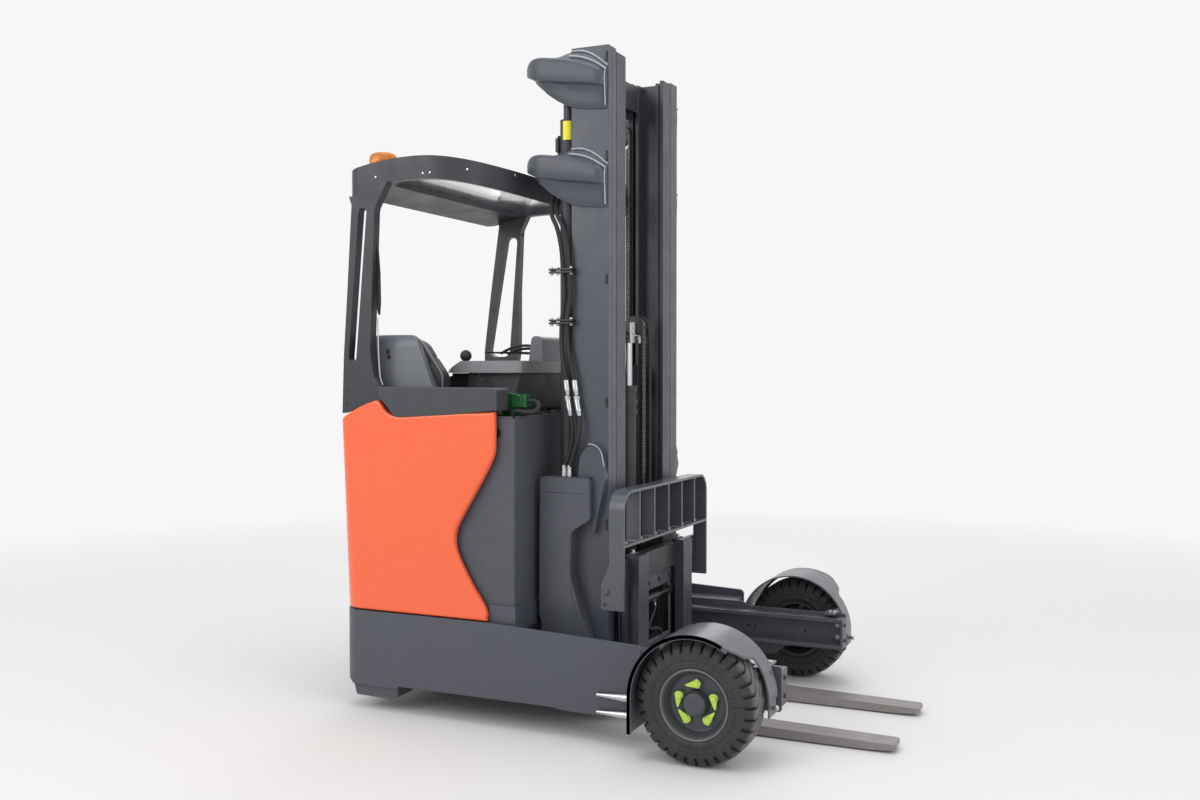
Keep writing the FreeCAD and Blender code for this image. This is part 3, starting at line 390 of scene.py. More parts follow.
# Faces between two rings; a ring of one point closes to a tip.
def addBand(bm, a, b):
    count = max(len(a), len(b))
    for i in range(count):
        j = (i + 1) % count
        if len(a) == 1:
            bm.faces.new((a[0], b[i], b[j]))
        elif len(b) == 1:
            bm.faces.new((a[i], a[j], b[0]))
        else:
            bm.faces.new((a[i], a[j], b[j], b[i]))


# Closed outline in the local XY plane, raised along local Z, with an optional bevelled top.
def addPrism(bm, outline, height, matrix, bevel=0.0):
    outline = [Vector(p) for p in outline]
    levels = [(outline, 0)]
    if bevel:
        levels.append((outline, height - bevel))
        centre = sum(outline, Vector((0, 0))) / len(outline)
        size = max((p - centre).length for p in outline)
        pull = (size - bevel) / size
        levels.append(([centre + (p - centre) * pull for p in outline], height))
    else:
        levels.append((outline, height))
    rings = [[bm.verts.new(matrix @ Vector((*p, z))) for p in ring] for ring, z in levels]
    for lower, upper in zip(rings, rings[1:]):
        addBand(bm, lower, upper)
    bm.faces.new(rings[-1])
    bm.faces.new(rings[0][::-1])


def circle(radius, count=24):
    turns = [2 * math.pi * i / count for i in range(count)]
    return [(radius * math.cos(turn), radius * math.sin(turn)) for turn in turns]


# Turns (along, radius) points round an axis through centre.
def addLathe(bm, profile, centre, axis, count=48):
    matrix = Matrix.Translation(Vector(centre)) @ turnTo(axis)
    rings = []
    for along, radius in profile:
        ring = circle(radius, count) if radius > 1e-6 else [(0, 0)]
        rings.append([bm.verts.new(matrix @ Vector((x, y, along))) for x, y in ring])
    for a, b in zip(rings, rings[1:]):
        addBand(bm, a, b)


# Hexagon head with its chamfer, on a washer. size is half the width across the corners.
def addBolt(bm, centre, axis, size, height=None, washer=True):
    height = height or size * 0.65
    matrix = Matrix.Translation(Vector(centre)) @ turnTo(axis)
    start = 0.0
    if washer:
        addPrism(bm, circle(size * 1.25, 24), size * 0.16, matrix, size * 0.05)
        start = size * 0.16
    addPrism(bm, circle(size, 6), height, matrix @ Matrix.Translation((0, 0, start)), size * 0.14)


# Round tube along points, with its ends capped; radius may be a function of the share of the way.
def addTube(bm, points, radius, sides=12):
    points = [Vector(p) for p in points]
    rings = []
    normal = None
    for i, point in enumerate(points):
        ahead = points[min(i + 1, len(points) - 1)] - points[max(i - 1, 0)]
        ahead.normalize()
        if normal is None:
            normal = ahead.orthogonal().normalized()
        normal = (normal - ahead * normal.dot(ahead)).normalized()
        side = ahead.cross(normal)
        thick = radius(i / (len(points) - 1)) if callable(radius) else radius
        rings.append([bm.verts.new(point + (normal * math.cos(a) + side * math.sin(a)) * thick)
                      for a in (2 * math.pi * k / sides for k in range(sides))])
    for a, b in zip(rings, rings[1:]):
        addBand(bm, a, b)
    bm.faces.new(rings[0][::-1])
    bm.faces.new(rings[-1])


# Points along a smooth curve through the given ones.
def smoothLine(points, steps=10):
    points = [Vector(p) for p in points]
    padded = [points[0] * 2 - points[1], *points, points[-1] * 2 - points[-2]]
    line = []
    for i in range(1, len(padded) - 2):
        a, b, c, d = padded[i - 1:i + 3]
        for k in range(steps):
            t = k / steps
            line.append(0.5 * ((2 * b) + (c - a) * t + (2 * a - 5 * b + 4 * c - d) * t * t
                               + (3 * b - 3 * c + d - a) * t ** 3))
    line.append(points[-1])
    return line


# Which finish each piece from the frame gets.
nodeFinish = {
    "slatePaint": ["chassis_base", "leg_right", "leg_left", "reach_rails", "load_axles", "rear_bumper",
                   "battery_tray", "carriage_crossbeam"],
    "towerPaint": ["carriage_tower_right", "carriage_tower_left"],
    "fenderPaint": ["fender_right", "fender_left"],
    "mastPaintShaded": ["outer_mast_right", "outer_mast_left", "mast_yokes"],
    "stagePaintShaded": ["middle_mast", "inner_mast"],
    "guardPaintShaded": ["guard_pillar_right", "guard_pillar_left", "guard_frame"],
    "orangeCover": ["side_panel_right", "side_panel_left"],
    "cabPlastic": ["side_rims", "motor_cover", "steering_console", "console_stem", "rear_cover"],
    "consolePlasticAndSheen": ["console_top"],
    "shellPlastic": ["seat_shell", "display_hood"],
    "blackRubber": ["operator_floor", "drive_wheel", "steering_wheel", "mast_hoses", "fork_hose",
                    "battery_lead"],
    "darkPlastic": ["hose_clamps"],
    "greenPlastic": ["battery_connector"],
    "batteryPaint": ["battery"],
    "rimPaint": ["load_rim_right", "load_rim_left"],
    "castIron": ["drive_gearbox", "drive_motor"],
    "darkPaint": ["fork_carriage", "tilt_frame", "side_shift_frame", "lift_barrels", "free_lift_barrel"],
    "framePaint": ["load_backrest"],
    "forkSteel": ["fork_right", "fork_left"],
    "brightSteel": ["free_lift_rod"],
    "oiledSteel": ["lift_chains", "stage_chains"],
    "roofSheet": ["roof_panel"],
    "amberLens": ["beacon"],
    "seatVinyl": ["seat_cushion", "seat_back"],
    "tyreRubberRight": ["load_tyre_right"],
    "tyreRubberLeft": ["load_tyre_left"],
}


def finishNodes():
    for finish, names in nodeFinish.items():
        for name in names:
            node = cadNodes.get(name)
            if node is None:
                continue
            if not node.material_slots:
                node.data.materials.append(materials[finish])
            for entry in node.material_slots:
                entry.material = materials[finish]


def makeMaterials():
    for name in finishes:
        makeFinish(name)
    makeTyreRubber("tyreRubberRight", axleRight, tyreSize["radius"])
    makeTyreRubber("tyreRubberLeft", axleLeft, tyreSize["radius"])
    makeVinyl("seatVinyl")
    makeClear("roofSheet", (0.93, 0.95, 0.97), 0.03, 1.0)
    makeClear("amberLens", (0.95, 0.30, 0.02), 0.12, 0.55)
    print("materials made:", len(materials))


tyreSize = {
    "radius": 0.221,
    "lugs": 32,
    "grooveDepth": 0.014,
    "grooveShare": 0.34,     # of the pitch
    "shear": 0.95,           # how far a groove runs round from side to side, in pitches
    # (radius, half width) from the bore out to the tread
    "wall": [(0.126, 0.074), (0.134, 0.078), (0.142, 0.080), (0.150, 0.0790), (0.152, 0.0775),
             (0.155, 0.0775), (0.157, 0.0792), (0.170, 0.0796), (0.174, 0.0785), (0.178, 0.0792),
             (0.184, 0.0788), (0.191, 0.0765), (0.199, 0.0735), (0.207, 0.0690), (0.214, 0.0620),
             (0.2188, 0.0530), (0.2205, 0.0420), (0.221, 0.028), (0.221, 0.012)],
}


def middleOf(node):
    low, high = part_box(node)
    return (low + high) / 2


axleRight = middleOf("load_tyre_right")
axleLeft = middleOf("load_tyre_left")


# Solid tyre with crosswise lugs, notched shoulders and ringed side walls.
def makeTyre(name, node, body, material, side):
    low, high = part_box(node)
    centre = (low + high) / 2
    half = (high.y - low.y) / 2
    wall = tyreSize["wall"]
    profile = [(r, -u) for r, u in wall] + [(0.221, 0.0)] + [(r, u) for r, u in wall[::-1]]
    share = tyreSize["grooveShare"]
    stops = [0.0, share * 0.18, share * 0.30, share * 0.70, share * 0.82, share, share + 0.04, 0.34, 0.50,
             0.66, 0.82, 0.96]
    bm = bmesh.new()
    columns = []
    for lug in range(tyreSize["lugs"]):
        for stop in stops:
            ring = []
            inGroove = share * 0.25 < stop < share * 0.75
            onWall = stop in (stops[1], stops[4])
            for radius, u in profile:
                along = max(-1.0, min(1.0, u / 0.036))
                turn = (lug + stop + tyreSize["shear"] * along) * 2 * math.pi / tyreSize["lugs"]
                deep = 0.0
                if inGroove or onWall:
                    reach = (radius - 0.187) / 0.012
                    deep = tyreSize["grooveDepth"] * max(0.0, min(1.0, reach)) * (1.0 if inGroove else 0.08)
                r = radius - deep
                tuck = 0.0
                if inGroove and abs(u) > 0.045:
                    tuck = 0.006 * max(0.0, min(1.0, (radius - 0.184) / 0.012))
                v = u - math.copysign(tuck, u) if u else 0.0
                ring.append(bm.verts.new((centre.x + r * math.cos(turn) * side, centre.y + v * half / 0.080,
                                          centre.z + r * math.sin(turn))))
            columns.append(ring)
    for a, b in zip(columns, columns[1:] + columns[:1]):
        for i in range(len(profile) - 1):
            bm.faces.new((a[i], b[i], b[i + 1], a[i + 1]))
        bm.faces.new((a[-1], b[-1], b[0], a[0]))
    tyre = fromBmesh(name, bm, material, body, 35.0)
    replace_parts(tyre, node)
    return tyre


def makeTyres():
    makeTyre("tyre_right", "load_tyre_right", "load_wheel_right", "tyreRubberRight", 1)
    makeTyre("tyre_left", "load_tyre_left", "load_wheel_left", "tyreRubberLeft", -1)
    print("tyres made")


# Value at x on a smooth curve through (x, value) pairs in rising order.
def curveAt(table, x):
    if x <= table[0][0]:
        return table[0][1]
    if x >= table[-1][0]:
        return table[-1][1]
    k = next(i for i in range(len(table) - 1) if x <= table[i + 1][0])
    (x0, a), (x1, b) = table[k], table[k + 1]
    slope = (b - a) / (x1 - x0)
    before = (a - table[k - 1][1]) / (x0 - table[k - 1][0]) if k > 0 else slope
    after = (table[k + 2][1] - b) / (table[k + 2][0] - x1) if k + 2 < len(table) else slope
    t = (x - x0) / (x1 - x0)
    m0 = (slope + before) / 2 * (x1 - x0)
    m1 = (slope + after) / 2 * (x1 - x0)
    return (a * (1 + 2 * t) * (1 - t) ** 2 + m0 * t * (1 - t) ** 2 + b * t * t * (3 - 2 * t)
            + m1 * t * t * (t - 1))


# Skin through rings of points, closed round each ring and capped at both ends.
def addLoft(bm, rings):
    made = [[bm.verts.new(p) for p in ring] for ring in rings]
    for a, b in zip(made, made[1:]):
        addBand(bm, a, b)
    bm.faces.new(made[0][::-1])
    bm.faces.new(made[-1])


# Box between two corners with its edges rounded.
def addBlock(bm, low, high, bevel=0.0, matrix=None):
    matrix = matrix or Matrix.Identity(4)
    verts = [bm.verts.new(matrix @ Vector((x, y, z))) for x in (low[0], high[0]) for y in (low[1], high[1])
             for z in (low[2], high[2])]
    faces = [bm.faces.new([verts[i] for i in quad]) for quad in
             ((0, 1, 3, 2), (4, 6, 7, 5), (0, 4, 5, 1), (2, 3, 7, 6), (0, 2, 6, 4), (1, 5, 7, 3))]
    if bevel:
        # always in the same order
        edges = list(dict.fromkeys(edge for face in faces for edge in face.edges))
        bmesh.ops.bevel(bm, geom=edges, offset=bevel, segments=2, affect="EDGES", clamp_overlap=True)


# Rounded polygon: corners are (x, y, radius).
def rounded(corners, steps=6):
    line = []
    count = len(corners)
    for i, (x, y, radius) in enumerate(corners):
        here = Vector((x, y))
        back = (Vector(corners[i - 1][:2]) - here)
        ahead = (Vector(corners[(i + 1) % count][:2]) - here)
        if not radius:
            line.append((x, y))
            continue
        half = back.angle(ahead) / 2
        reach = radius / math.tan(half)
        start, end = here + back.normalized() * reach, here + ahead.normalized() * reach
        centre = here + (back.normalized() + ahead.normalized()).normalized() * (radius / math.sin(half))
        for k in range(steps + 1):
            point = start.lerp(end, k / steps) - centre
            line.append(tuple(centre + point.normalized() * radius))
    return line


# The same piece on both sides of the truck: rowsFor(side) gets -1 for the right and 1 for the left.
# body is one name, or a right and a left one.
def bothSides(name, material, rowsFor, body="chassis", smooth=30.0):
    for side, word in ((-1, "right"), (1, "left")):
        owner = body if isinstance(body, str) else body[side > 0]
        onePiece(f"{name}_{word}", material, rowsFor(side), owner, smooth)


# One piece out of rows of (adder, its values...).
def onePiece(name, material, rows, body="chassis", smooth=30.0):
    bm = bmesh.new()
    for add, *values in rows:
        add(bm, *values)
    return fromBmesh(name, bm, material, body, smooth)


yokeShape = {
    "drops": (0.0, 0.382),       # of the two yokes
    "outerY": 0.414,
    "rearX": -0.384,
    "bend": 0.118,               # corner radius in plan
    "thickness": 0.042,
    # (x, z) along the arm: outer top edge, inner top edge, crease over the gusset, gusset's foot
    "top": [(-0.384, 2.598), (-0.36, 2.611), (-0.334, 2.620), (-0.278, 2.620), (-0.234, 2.614),
            (-0.168, 2.603), (-0.125, 2.592), (-0.06, 2.570), (-0.004, 2.541)],
    "inner": [(-0.384, 2.606), (-0.23, 2.620), (-0.18, 2.632), (-0.154, 2.637), (-0.10, 2.632),
              (-0.05, 2.606), (-0.004, 2.568)],
    "crease": [(-0.384, 2.573), (-0.36, 2.560), (-0.345, 2.554), (-0.316, 2.542), (-0.256, 2.530),
               (-0.19, 2.519), (-0.086, 2.505), (-0.004, 2.492)],
    "foot": [(-0.384, 2.566), (-0.36, 2.551), (-0.345, 2.543), (-0.273, 2.502), (-0.221, 2.466),
             (-0.185, 2.447), (-0.147, 2.431), (-0.076, 2.421), (-0.004, 2.417)],
    # (x, how far the outer face stands back) where the arm runs out at the front
    "front": [(-0.004, 0.030), (-0.010, 0.020), (-0.018, 0.008), (-0.028, 0.001)],
}


# (x, y, inward x, inward y) along the outer face of the right arm and half of the back.
def yokePath():
    spec = yokeShape
    turn = spec["rearX"] + spec["bend"]
    path = [(x, -spec["outerY"] + back, 0.0, 1.0) for x, back in spec["front"]]
    path += [(x, -spec["outerY"], 0.0, 1.0)
             for x in (-0.045, -0.07, -0.10, -0.13, -0.16, -0.19, -0.22, -0.245)]
    for k in range(9):
        angle = math.radians(270 - 90 * k / 8)
        path.append((turn + spec["bend"] * math.cos(angle),
                     -spec["outerY"] + spec["bend"] * (1 + math.sin(angle)),
                     -math.cos(angle), -math.sin(angle)))
    path += [(spec["rearX"], y, 1.0, 0.0) for y in (-0.2, -0.1, 0.0)]
    return path


def makeYokes():
    spec = yokeShape
    deep = spec["thickness"]
    half = yokePath()
    path = half + [(x, -y, nx, -ny) for x, y, nx, ny in half[-2::-1]]
    beads = bmesh.new()

    def build(bm):
        for drop in spec["drops"]:
            rings = []
            for x, y, nx, ny in path:
                t, i, c, f = (curveAt(spec[key], x) - drop for key in ("top", "inner", "crease", "foot"))
                section = [(0.0, c + 0.003), (0.0, (c + t) / 2), (0.0, t - 0.016), (0.0015, t - 0.008),
                           (0.005, t - 0.002), (0.011, t + 0.001), (0.026, t + (i - t) * 0.55), (deep, i),
                           (deep, f - 0.016), (0.036, f - 0.014), (0.032, f - 0.004), (0.0300, f + 0.002),
                           (0.0275, f + (c - f) * 0.25), (0.0245, f + (c - f) * 0.55),
                           (0.0190, f + (c - f) * 0.84), (0.0110, c - 0.006), (0.003, c - 0.003)]
                squeeze = 1 - (abs(y) < spec["outerY"] and nx == 0.0) * (spec["outerY"] - abs(y)) / deep
                rings.append([(x + nx * n * squeeze, y + ny * n * squeeze, z) for n, z in section])
            addLoft(bm, rings)
            for sign in (1, -1):
                arm = [p for p in half if -0.165 < p[0]]
                for inset, share in ((0.0395, 1.0), (0.020, 0.40)):
                    line = [(x, sign * (-spec["outerY"] + inset), curveAt(spec["top"], x) - drop
                             + (curveAt(spec["inner"], x) - curveAt(spec["top"], x)) * share + 0.001)
                            for x, y, _, _ in arm]
                    addBead(beads, smoothLine(line, 6), 0.0048)
                edge = [(-0.0085, sign * -0.388, 2.556 - drop), (-0.0085, sign * -0.3945, 2.520 - drop),
                        (-0.0085, sign * -0.391, 2.480 - drop), (-0.0085, sign * -0.385, 2.412 - drop)]
                addBead(beads, smoothLine(edge, 8), 0.0030)
        addBlock(bm, (-0.300, -0.372, 2.150), (-0.236, 0.372, 2.186), 0.004)

    yokes = onePiece("yokes", "mastPaintShaded", [(build,)], "reach_carriage", 38.0)
    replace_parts(yokes, "mast_yokes")
    fromBmesh("yoke_welds", beads, "weldBeadHighlight", "reach_carriage", 60.0)


# Weld bead: a tube with even ripples.
def addBead(bm, points, radius, sides=8):
    count = max(2, int(sum((Vector(a) - Vector(b)).length for a, b in zip(points, points[1:])) / 0.0016))
    line = evenPoints(points, count)
    addTube(bm, line, lambda t: radius * (0.86 + 0.14 * math.sin(t * count * 0.9)), sides)


# count + 1 points, evenly spaced along a line.
def evenPoints(points, count):
    points = [Vector(p) for p in points]
    lengths = [0.0]
    for a, b in zip(points, points[1:]):
        lengths.append(lengths[-1] + (b - a).length)
    result = []
    k = 0
    for i in range(count + 1):
        want = lengths[-1] * i / count
        while k < len(points) - 2 and lengths[k + 1] < want:
            k += 1
        share = (want - lengths[k]) / max(1e-9, lengths[k + 1] - lengths[k])
        result.append(points[k].lerp(points[k + 1], min(1.0, share)))
    return result


panelShape = {
    "skin": -0.620,              # y of the outer face
    "rearX": -1.100,
    "corner": (0.095, 0.030),    # radius at the foot and at the top
    "lapY": -0.430,              # where it ends on the back
    "roll": 0.013,               # radius that the edges are rolled to
    "depth": 0.022,
    "low": 0.4085,
    # front edge, (z, x) upwards
    "front": [(0.405, -0.412), (0.422, -0.409), (0.543, -0.480), (0.640, -0.533), (0.680, -0.548),
              (0.716, -0.553), (0.762, -0.545), (0.828, -0.510), (0.949, -0.437), (1.035, -0.390),
              (1.068, -0.3775), (1.104, -0.374), (1.230, -0.374)],
    # top edge, (x, z) forwards
    "top": [(-1.100, 1.192), (-1.059, 1.208), (-1.028, 1.226), (-0.982, 1.246), (-0.945, 1.258),
            (-0.921, 1.264), (-0.908, 1.258), (-0.896, 1.244), (-0.880, 1.224), (-0.862, 1.211),
            (-0.841, 1.2045), (-0.802, 1.2015), (-0.758, 1.204), (-0.595, 1.2155), (-0.372, 1.2235)],
}


# Point on the wrapped outer face, at distance along it from x = 0 backwards, and its inward direction.
def panelPoint(travel, corner):
    spec = panelShape
    straight = -(spec["rearX"] + corner)
    arc = corner * math.pi / 2
    if travel <= straight:
        return Vector((-travel, spec["skin"], 0)), Vector((0, 1, 0))
    if travel <= straight + arc:
        angle = (travel - straight) / corner
        inward = Vector((math.sin(angle), math.cos(angle), 0))
        centre = Vector((spec["rearX"] + corner, spec["skin"] + corner, 0))
        return centre - inward * corner, inward
    return Vector((spec["rearX"], spec["skin"] + corner + travel - straight - arc, 0)), Vector((1, 0, 0))


# Glossy side cover with rolled edges, wrapped round the rear corner.
def makeSidePanel():
    spec = panelShape
    rim = [0.0, 0.0008, 0.0022, 0.0042, 0.0068, 0.0098, 0.013]
    rows = 150

    def sunk(distance):
        if distance >= spec["roll"]:
            return 0.0
        return spec["roll"] - math.sqrt(max(0.0, spec["roll"] ** 2 - (spec["roll"] - distance) ** 2))

    def build(bm):
        grid = []
        heights = rim + [None] * rows + rim[::-1]
        for k in range(len(heights)):
            share = (k - len(rim) + 1) / (rows + 1)
            nominal = spec["low"] + max(0.0, min(1.0, share)) * (1.2235 - spec["low"])
            front = -curveAt(spec["front"], nominal)
            slope = (curveAt(spec["front"], nominal + 0.002) - curveAt(spec["front"],
                                                                       nominal - 0.002)) / 0.004
            lean = 1 / math.sqrt(1 + slope * slope)
            line = []
            share = max(0.0, min(1.0, share))
            corner = spec["corner"][0] + (spec["corner"][1] - spec["corner"][0]) * share
            last = -spec["rearX"] + spec["lapY"] - spec["skin"] - corner * (2 - math.pi / 2)
            stations = [front + d / lean for d in rim]
            stations += [front + 0.013 / lean + (last - 0.013 - front - 0.013 / lean) * i / 70
                         for i in range(1, 71)]
            stations += [last - d for d in rim[-2::-1]]
            for travel in stations:
                place2d, inward = panelPoint(travel, corner)
                high = curveAt(spec["top"], place2d.x)
                if k < len(rim):
                    z = spec["low"] + rim[k]
                elif heights[k] is not None:
                    z = high - heights[k]
                else:
                    z = spec["low"] + 0.013 + share * (high - spec["low"] - 0.026)
                gap = min((travel - front) * lean, last - travel, z - spec["low"], high - z)
                line.append(bm.verts.new(place2d + inward * sunk(max(0.0, gap)) + Vector((0, 0, z))))
            grid.append(line)
        for a, b in zip(grid, grid[1:]):
            for i in range(len(a) - 1):
                bm.faces.new((a[i], a[i + 1], b[i + 1], b[i]))
        border = [edge for edge in bm.edges if edge.is_boundary]
        drawn = bmesh.ops.extrude_edge_only(bm, edges=border)
        for vert in [v for v in drawn["geom"] if isinstance(v, bmesh.types.BMVert)]:
            along = max(0.0, min(1.0, (-1.0 - vert.co.x) / 0.09))
            inward = Vector((along, 1 - along, 0)).normalized()
            vert.co += inward * (spec["depth"] - spec["roll"])

    panel = onePiece("side_cover_right", "orangeCover", [(build,)], "chassis", 50.0)
    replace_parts(panel, "side_panel_right")


wheelTrim = {
    "studs": 5,
    "studCircle": 0.068,
    "firstStud": 1.60,           # radians
    "flagTurns": (1, 1, -1, 1, -1),      # which way round each indicator points
    "nut": 0.0125,
    "faceDepth": 0.048,          # disc behind the tyre's outer face
    "flag": 0.0175,              # round end of a nut indicator
    "flagReach": 0.038,
    "capRadius": 0.0385,
    "lip": [(0.0, 0.1265), (0.004, 0.1275), (0.008, 0.1262), (0.0095, 0.1235), (0.0085, 0.1205),
            (0.005, 0.1185), (-0.002, 0.1170), (-0.010, 0.1150), (-0.018, 0.1120), (-0.030, 0.1060),
            (-0.037, 0.1010), (-0.037, 0.0990)],
}


def makeWheelTrim():
    spec = wheelTrim
    bodies = ("load_wheel_right", "load_wheel_left")
    outerY = 0.750
    centre = (axleRight.x, axleRight.z)

    def spot(k, side, radius, depth):
        angle = spec["firstStud"] + 2 * math.pi * k / spec["studs"]
        return Vector((centre[0] + radius * math.cos(angle), side * (outerY - depth),
                       centre[1] + radius * math.sin(angle))), angle

    def nuts(side):
        return [*[(addBolt, spot(k, side, spec["studCircle"], spec["faceDepth"])[0], (0, side, 0),
                   spec["nut"], 0.013)
                  for k in range(spec["studs"])],
                *[(addBolt, (centre[0] + dx, side * 0.680, centre[1] + dz), (0, -side, 0), 0.009, 0.008)
                  for dx, dz in circle(0.084, 8)]]

    def flags(bm, side):
        for k in range(spec["studs"]):
            place3d, angle = spot(k, side, spec["studCircle"], spec["faceDepth"] - 0.0135)
            toward = angle + spec["flagTurns"][k] * math.pi * 0.56
            tip = Vector((math.cos(toward), math.sin(toward)))
            outline = []
            wide = 0.62 * math.pi
            for i in range(19):
                turn = toward + wide + (2 * math.pi - 2 * wide) * i / 18
                outline.append(Vector((math.cos(turn), math.sin(turn))) * spec["flag"])
            outline.append(tip * spec["flagReach"] + Vector((-tip.y, tip.x)) * -0.003)
            outline.append(tip * (spec["flagReach"] + 0.0015))
            outline.append(tip * spec["flagReach"] + Vector((-tip.y, tip.x)) * 0.003)
            frame3d = Matrix.Translation(place3d) @ Matrix(((1, 0, 0, 0), (0, 0, side, 0), (0, 1, 0, 0),
                                                            (0, 0, 0, 1)))
            addPrism(bm, [tuple(p) for p in outline], 0.0042, frame3d, 0.0012)
            addPrism(bm, circle(0.0118, 6), 0.0075, frame3d, 0.0015)

    cap = spec["capRadius"]
    capRim = [(0.0, cap), (0.010, cap), (0.0135, cap - 0.003), (0.0145, cap - 0.006), (0.0150, 0.012),
              (0.0150, 0.0)]
    bothSides("wheel_nuts", "zincPlate", nuts, bodies)
    bothSides("nut_indicators", "limePlastic", lambda side: [(flags, side)], bodies, 25.0)
    bothSides("hub_cap", "rimPaint", lambda side: [
        (addLathe, capRim, (centre[0], side * (outerY - 0.019), centre[1]), (0, side, 0), 40)], bodies, 35.0)
    bothSides("rim_lip", "rimLip", lambda side: [
        (addLathe, spec["lip"], (centre[0], side * (outerY - 0.0115), centre[1]), (0, side, 0), 64)],
              bodies, 50.0)
    print("wheel details made")


guardLip = {
    "centre": (0.490, 0.229),
    "radius": 0.241,
    "from": 180,                 # degrees round the wheel
    "to": 62,
}


def makeFenderTrim():
    spec = guardLip
    cx, cz = spec["centre"]
    radius = spec["radius"]
    out, into = radius + 0.0006, radius - 0.0130

    # Dark skin laid over the fender's lip: painted shade on the lip.
    def edges(side):
        outerY, innerY = side * 0.7720, side * 0.7655
        drop = [0.097 + 0.132 * k / 6 for k in range(6)]
        spots = [((cx - radius - 0.0006, z), (cx - radius + 0.0130, z)) for z in drop]
        for k in range(45):
            angle = math.radians(spec["from"] + (spec["to"] - spec["from"]) * k / 44)
            spots.append([(cx + r * math.cos(angle), cz + r * math.sin(angle)) for r in (out, into)])
        return [(addLoft, [[(a[0], outerY, a[1]), (b[0], outerY, b[1]), (b[0], innerY, b[1]),
                            (a[0], innerY, a[1])] for a, b in spots])]

    rod = [(0.0, 0.0), (0.0, 0.0060), (0.05, 0.0100), (0.100, 0.0145), (0.150, 0.0170), (0.179, 0.0170),
           (0.179, 0.0)]
    bothSides("fender_edge_shade", "guardPaintShaded", edges, smooth=35.0)
    bothSides("fender_stays", "brightSteel", lambda side: [
        (addLathe, rod, (0.0700, side * 0.6345, z), (1, 0, 0), 20) for z in (0.120, 0.184)])
    bothSides("leg_bolts", "zincPlate", lambda side: [
        *[(addBolt, (x, side * 0.490, 0.334), (0, 0, 1), 0.0085) for x in (0.672, 0.690)],
        (addBolt, (0.745, side * 0.600, 0.204), (1, 0, 0), 0.009),
        *[(addBolt, (0.704, side * y, z), (0, way * side, 0), 0.0085) for z in (0.225, 0.277)
          for y, way in ((0.493, -1), (0.513, 1))]])
    bothSides("axle_bolts", "darkPaint", lambda side: [
        (addBolt, (cx + dx, side * 0.582, 0.221 + dz), (0, side, 0), 0.0075, 0.006)
        for dz in (-0.030, 0.030) for dx in (-0.030, 0.030)])
    print("fender details made")


chainShape = {
    "pitch": 0.0254,
    "plateDepth": 0.0115,        # of a leaf across the strand
    "pin": 0.0042,
}


# Leaf chain down a straight strand: at(x, y) with the chain's width along y and depth along x.
def addStrand(bm, x, y, low, high, width, leaves):
    spec = chainShape
    count = max(1, round((high - low) / spec["pitch"]))
    step = (high - low) / count
    thick = width / leaves
    half = spec["plateDepth"] / 2
    for k in range(count):
        base = low + k * step
        for leaf in range(leaves):
            shift = step * 0.5 if leaf % 2 else 0.0
            start = max(low, base - shift - step * 0.12)
            end = min(high, base - shift + step * 1.12)
            if end - start < 0.004:
                continue
            outer = y - width / 2 + leaf * thick
            waist = (start + end) / 2
            outline = []
            for i in range(9):
                angle = math.pi * i / 8
                outline.append((half * math.cos(angle), end - half + half * math.sin(angle)))
            outline.append((-half * 0.62, waist))
            for i in range(9):
                angle = math.pi + math.pi * i / 8
                outline.append((half * math.cos(angle), start + half + half * math.sin(angle)))
            outline.append((half * 0.62, waist))
            matrix = Matrix(((1, 0, 0, x), (0, 0, 1, outer + thick * 0.06), (0, 1, 0, 0), (0, 0, 0, 1)))
            addPrism(bm, outline, thick * 0.88, matrix)
    for k in range(2 * count):
        z = low + (k + 0.5) * step / 2
        addPrism(bm, circle(spec["pin"], 10), width + 0.002, Matrix.Translation((x, y - width / 2 - 0.001, z))
                 @ turnTo((0, 1, 0)), 0.0006)


# The part of a chain that lies on its wheel, from the front strand over the top to the rear one.
def addWrap(bm, cx, y, cz, radius, width, leaves):
    count = max(6, round(math.pi * radius / chainShape["pitch"] * 2))
    thick = width / leaves
    for k in range(count):
        for leaf in range(leaves):
            shift = 0.5 if leaf % 2 else 0.0
            middle = math.pi * (k + 0.5 + shift - 0.25) / count
            middle = min(math.pi * 0.97, max(math.pi * 0.03, middle))
            along = (-math.sin(middle), math.cos(middle))
            matrix = Matrix(((along[0], 0, math.cos(middle), cx + radius * math.cos(middle)),
                             (0, 1, 0, y - width / 2 + (leaf + 0.5) * thick),
                             (along[1], 0, math.sin(middle), cz + radius * math.sin(middle)), (0, 0, 0, 1)))
            reach = math.pi * radius / count * 0.62
            addBlock(bm, (-reach, -thick * 0.44, -0.0055), (reach, thick * 0.44, 0.0055), 0.0, matrix)


forkChain = {"y": 0.060, "width": 0.030, "wheel": (-0.071, 1.572), "reach": 0.038, "front": 0.640,
             "rear": 1.412}
stageChain = {"y": 0.187, "width": 0.029, "wheel": (-0.203, 2.405), "reach": 0.054, "front": 0.262,
              "rear": 2.191}


# A front strand on the moving body, a rear one left on no body, and the part on the wheel.
def makeChain(kind, word, spec, y, leaves, body, extra=()):
    cx, cz = spec["wheel"]
    reach, width = spec["reach"], spec["width"]
    front = onePiece(f"{kind}_front{word}", "oiledSteel",
                     [(addStrand, cx + reach, y, spec["front"], cz, width, leaves)], body)
    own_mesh(front)
    rear = onePiece(f"{kind}_rear{word}", "oiledSteel",
                    [(addStrand, cx - reach, y, spec["rear"], cz, width, leaves)], None)
    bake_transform(rear)
    return onePiece(f"{kind}_wheel{word}", "oiledSteel", [(addWrap, cx, y, cz, reach, width, leaves), *extra],
                    body)


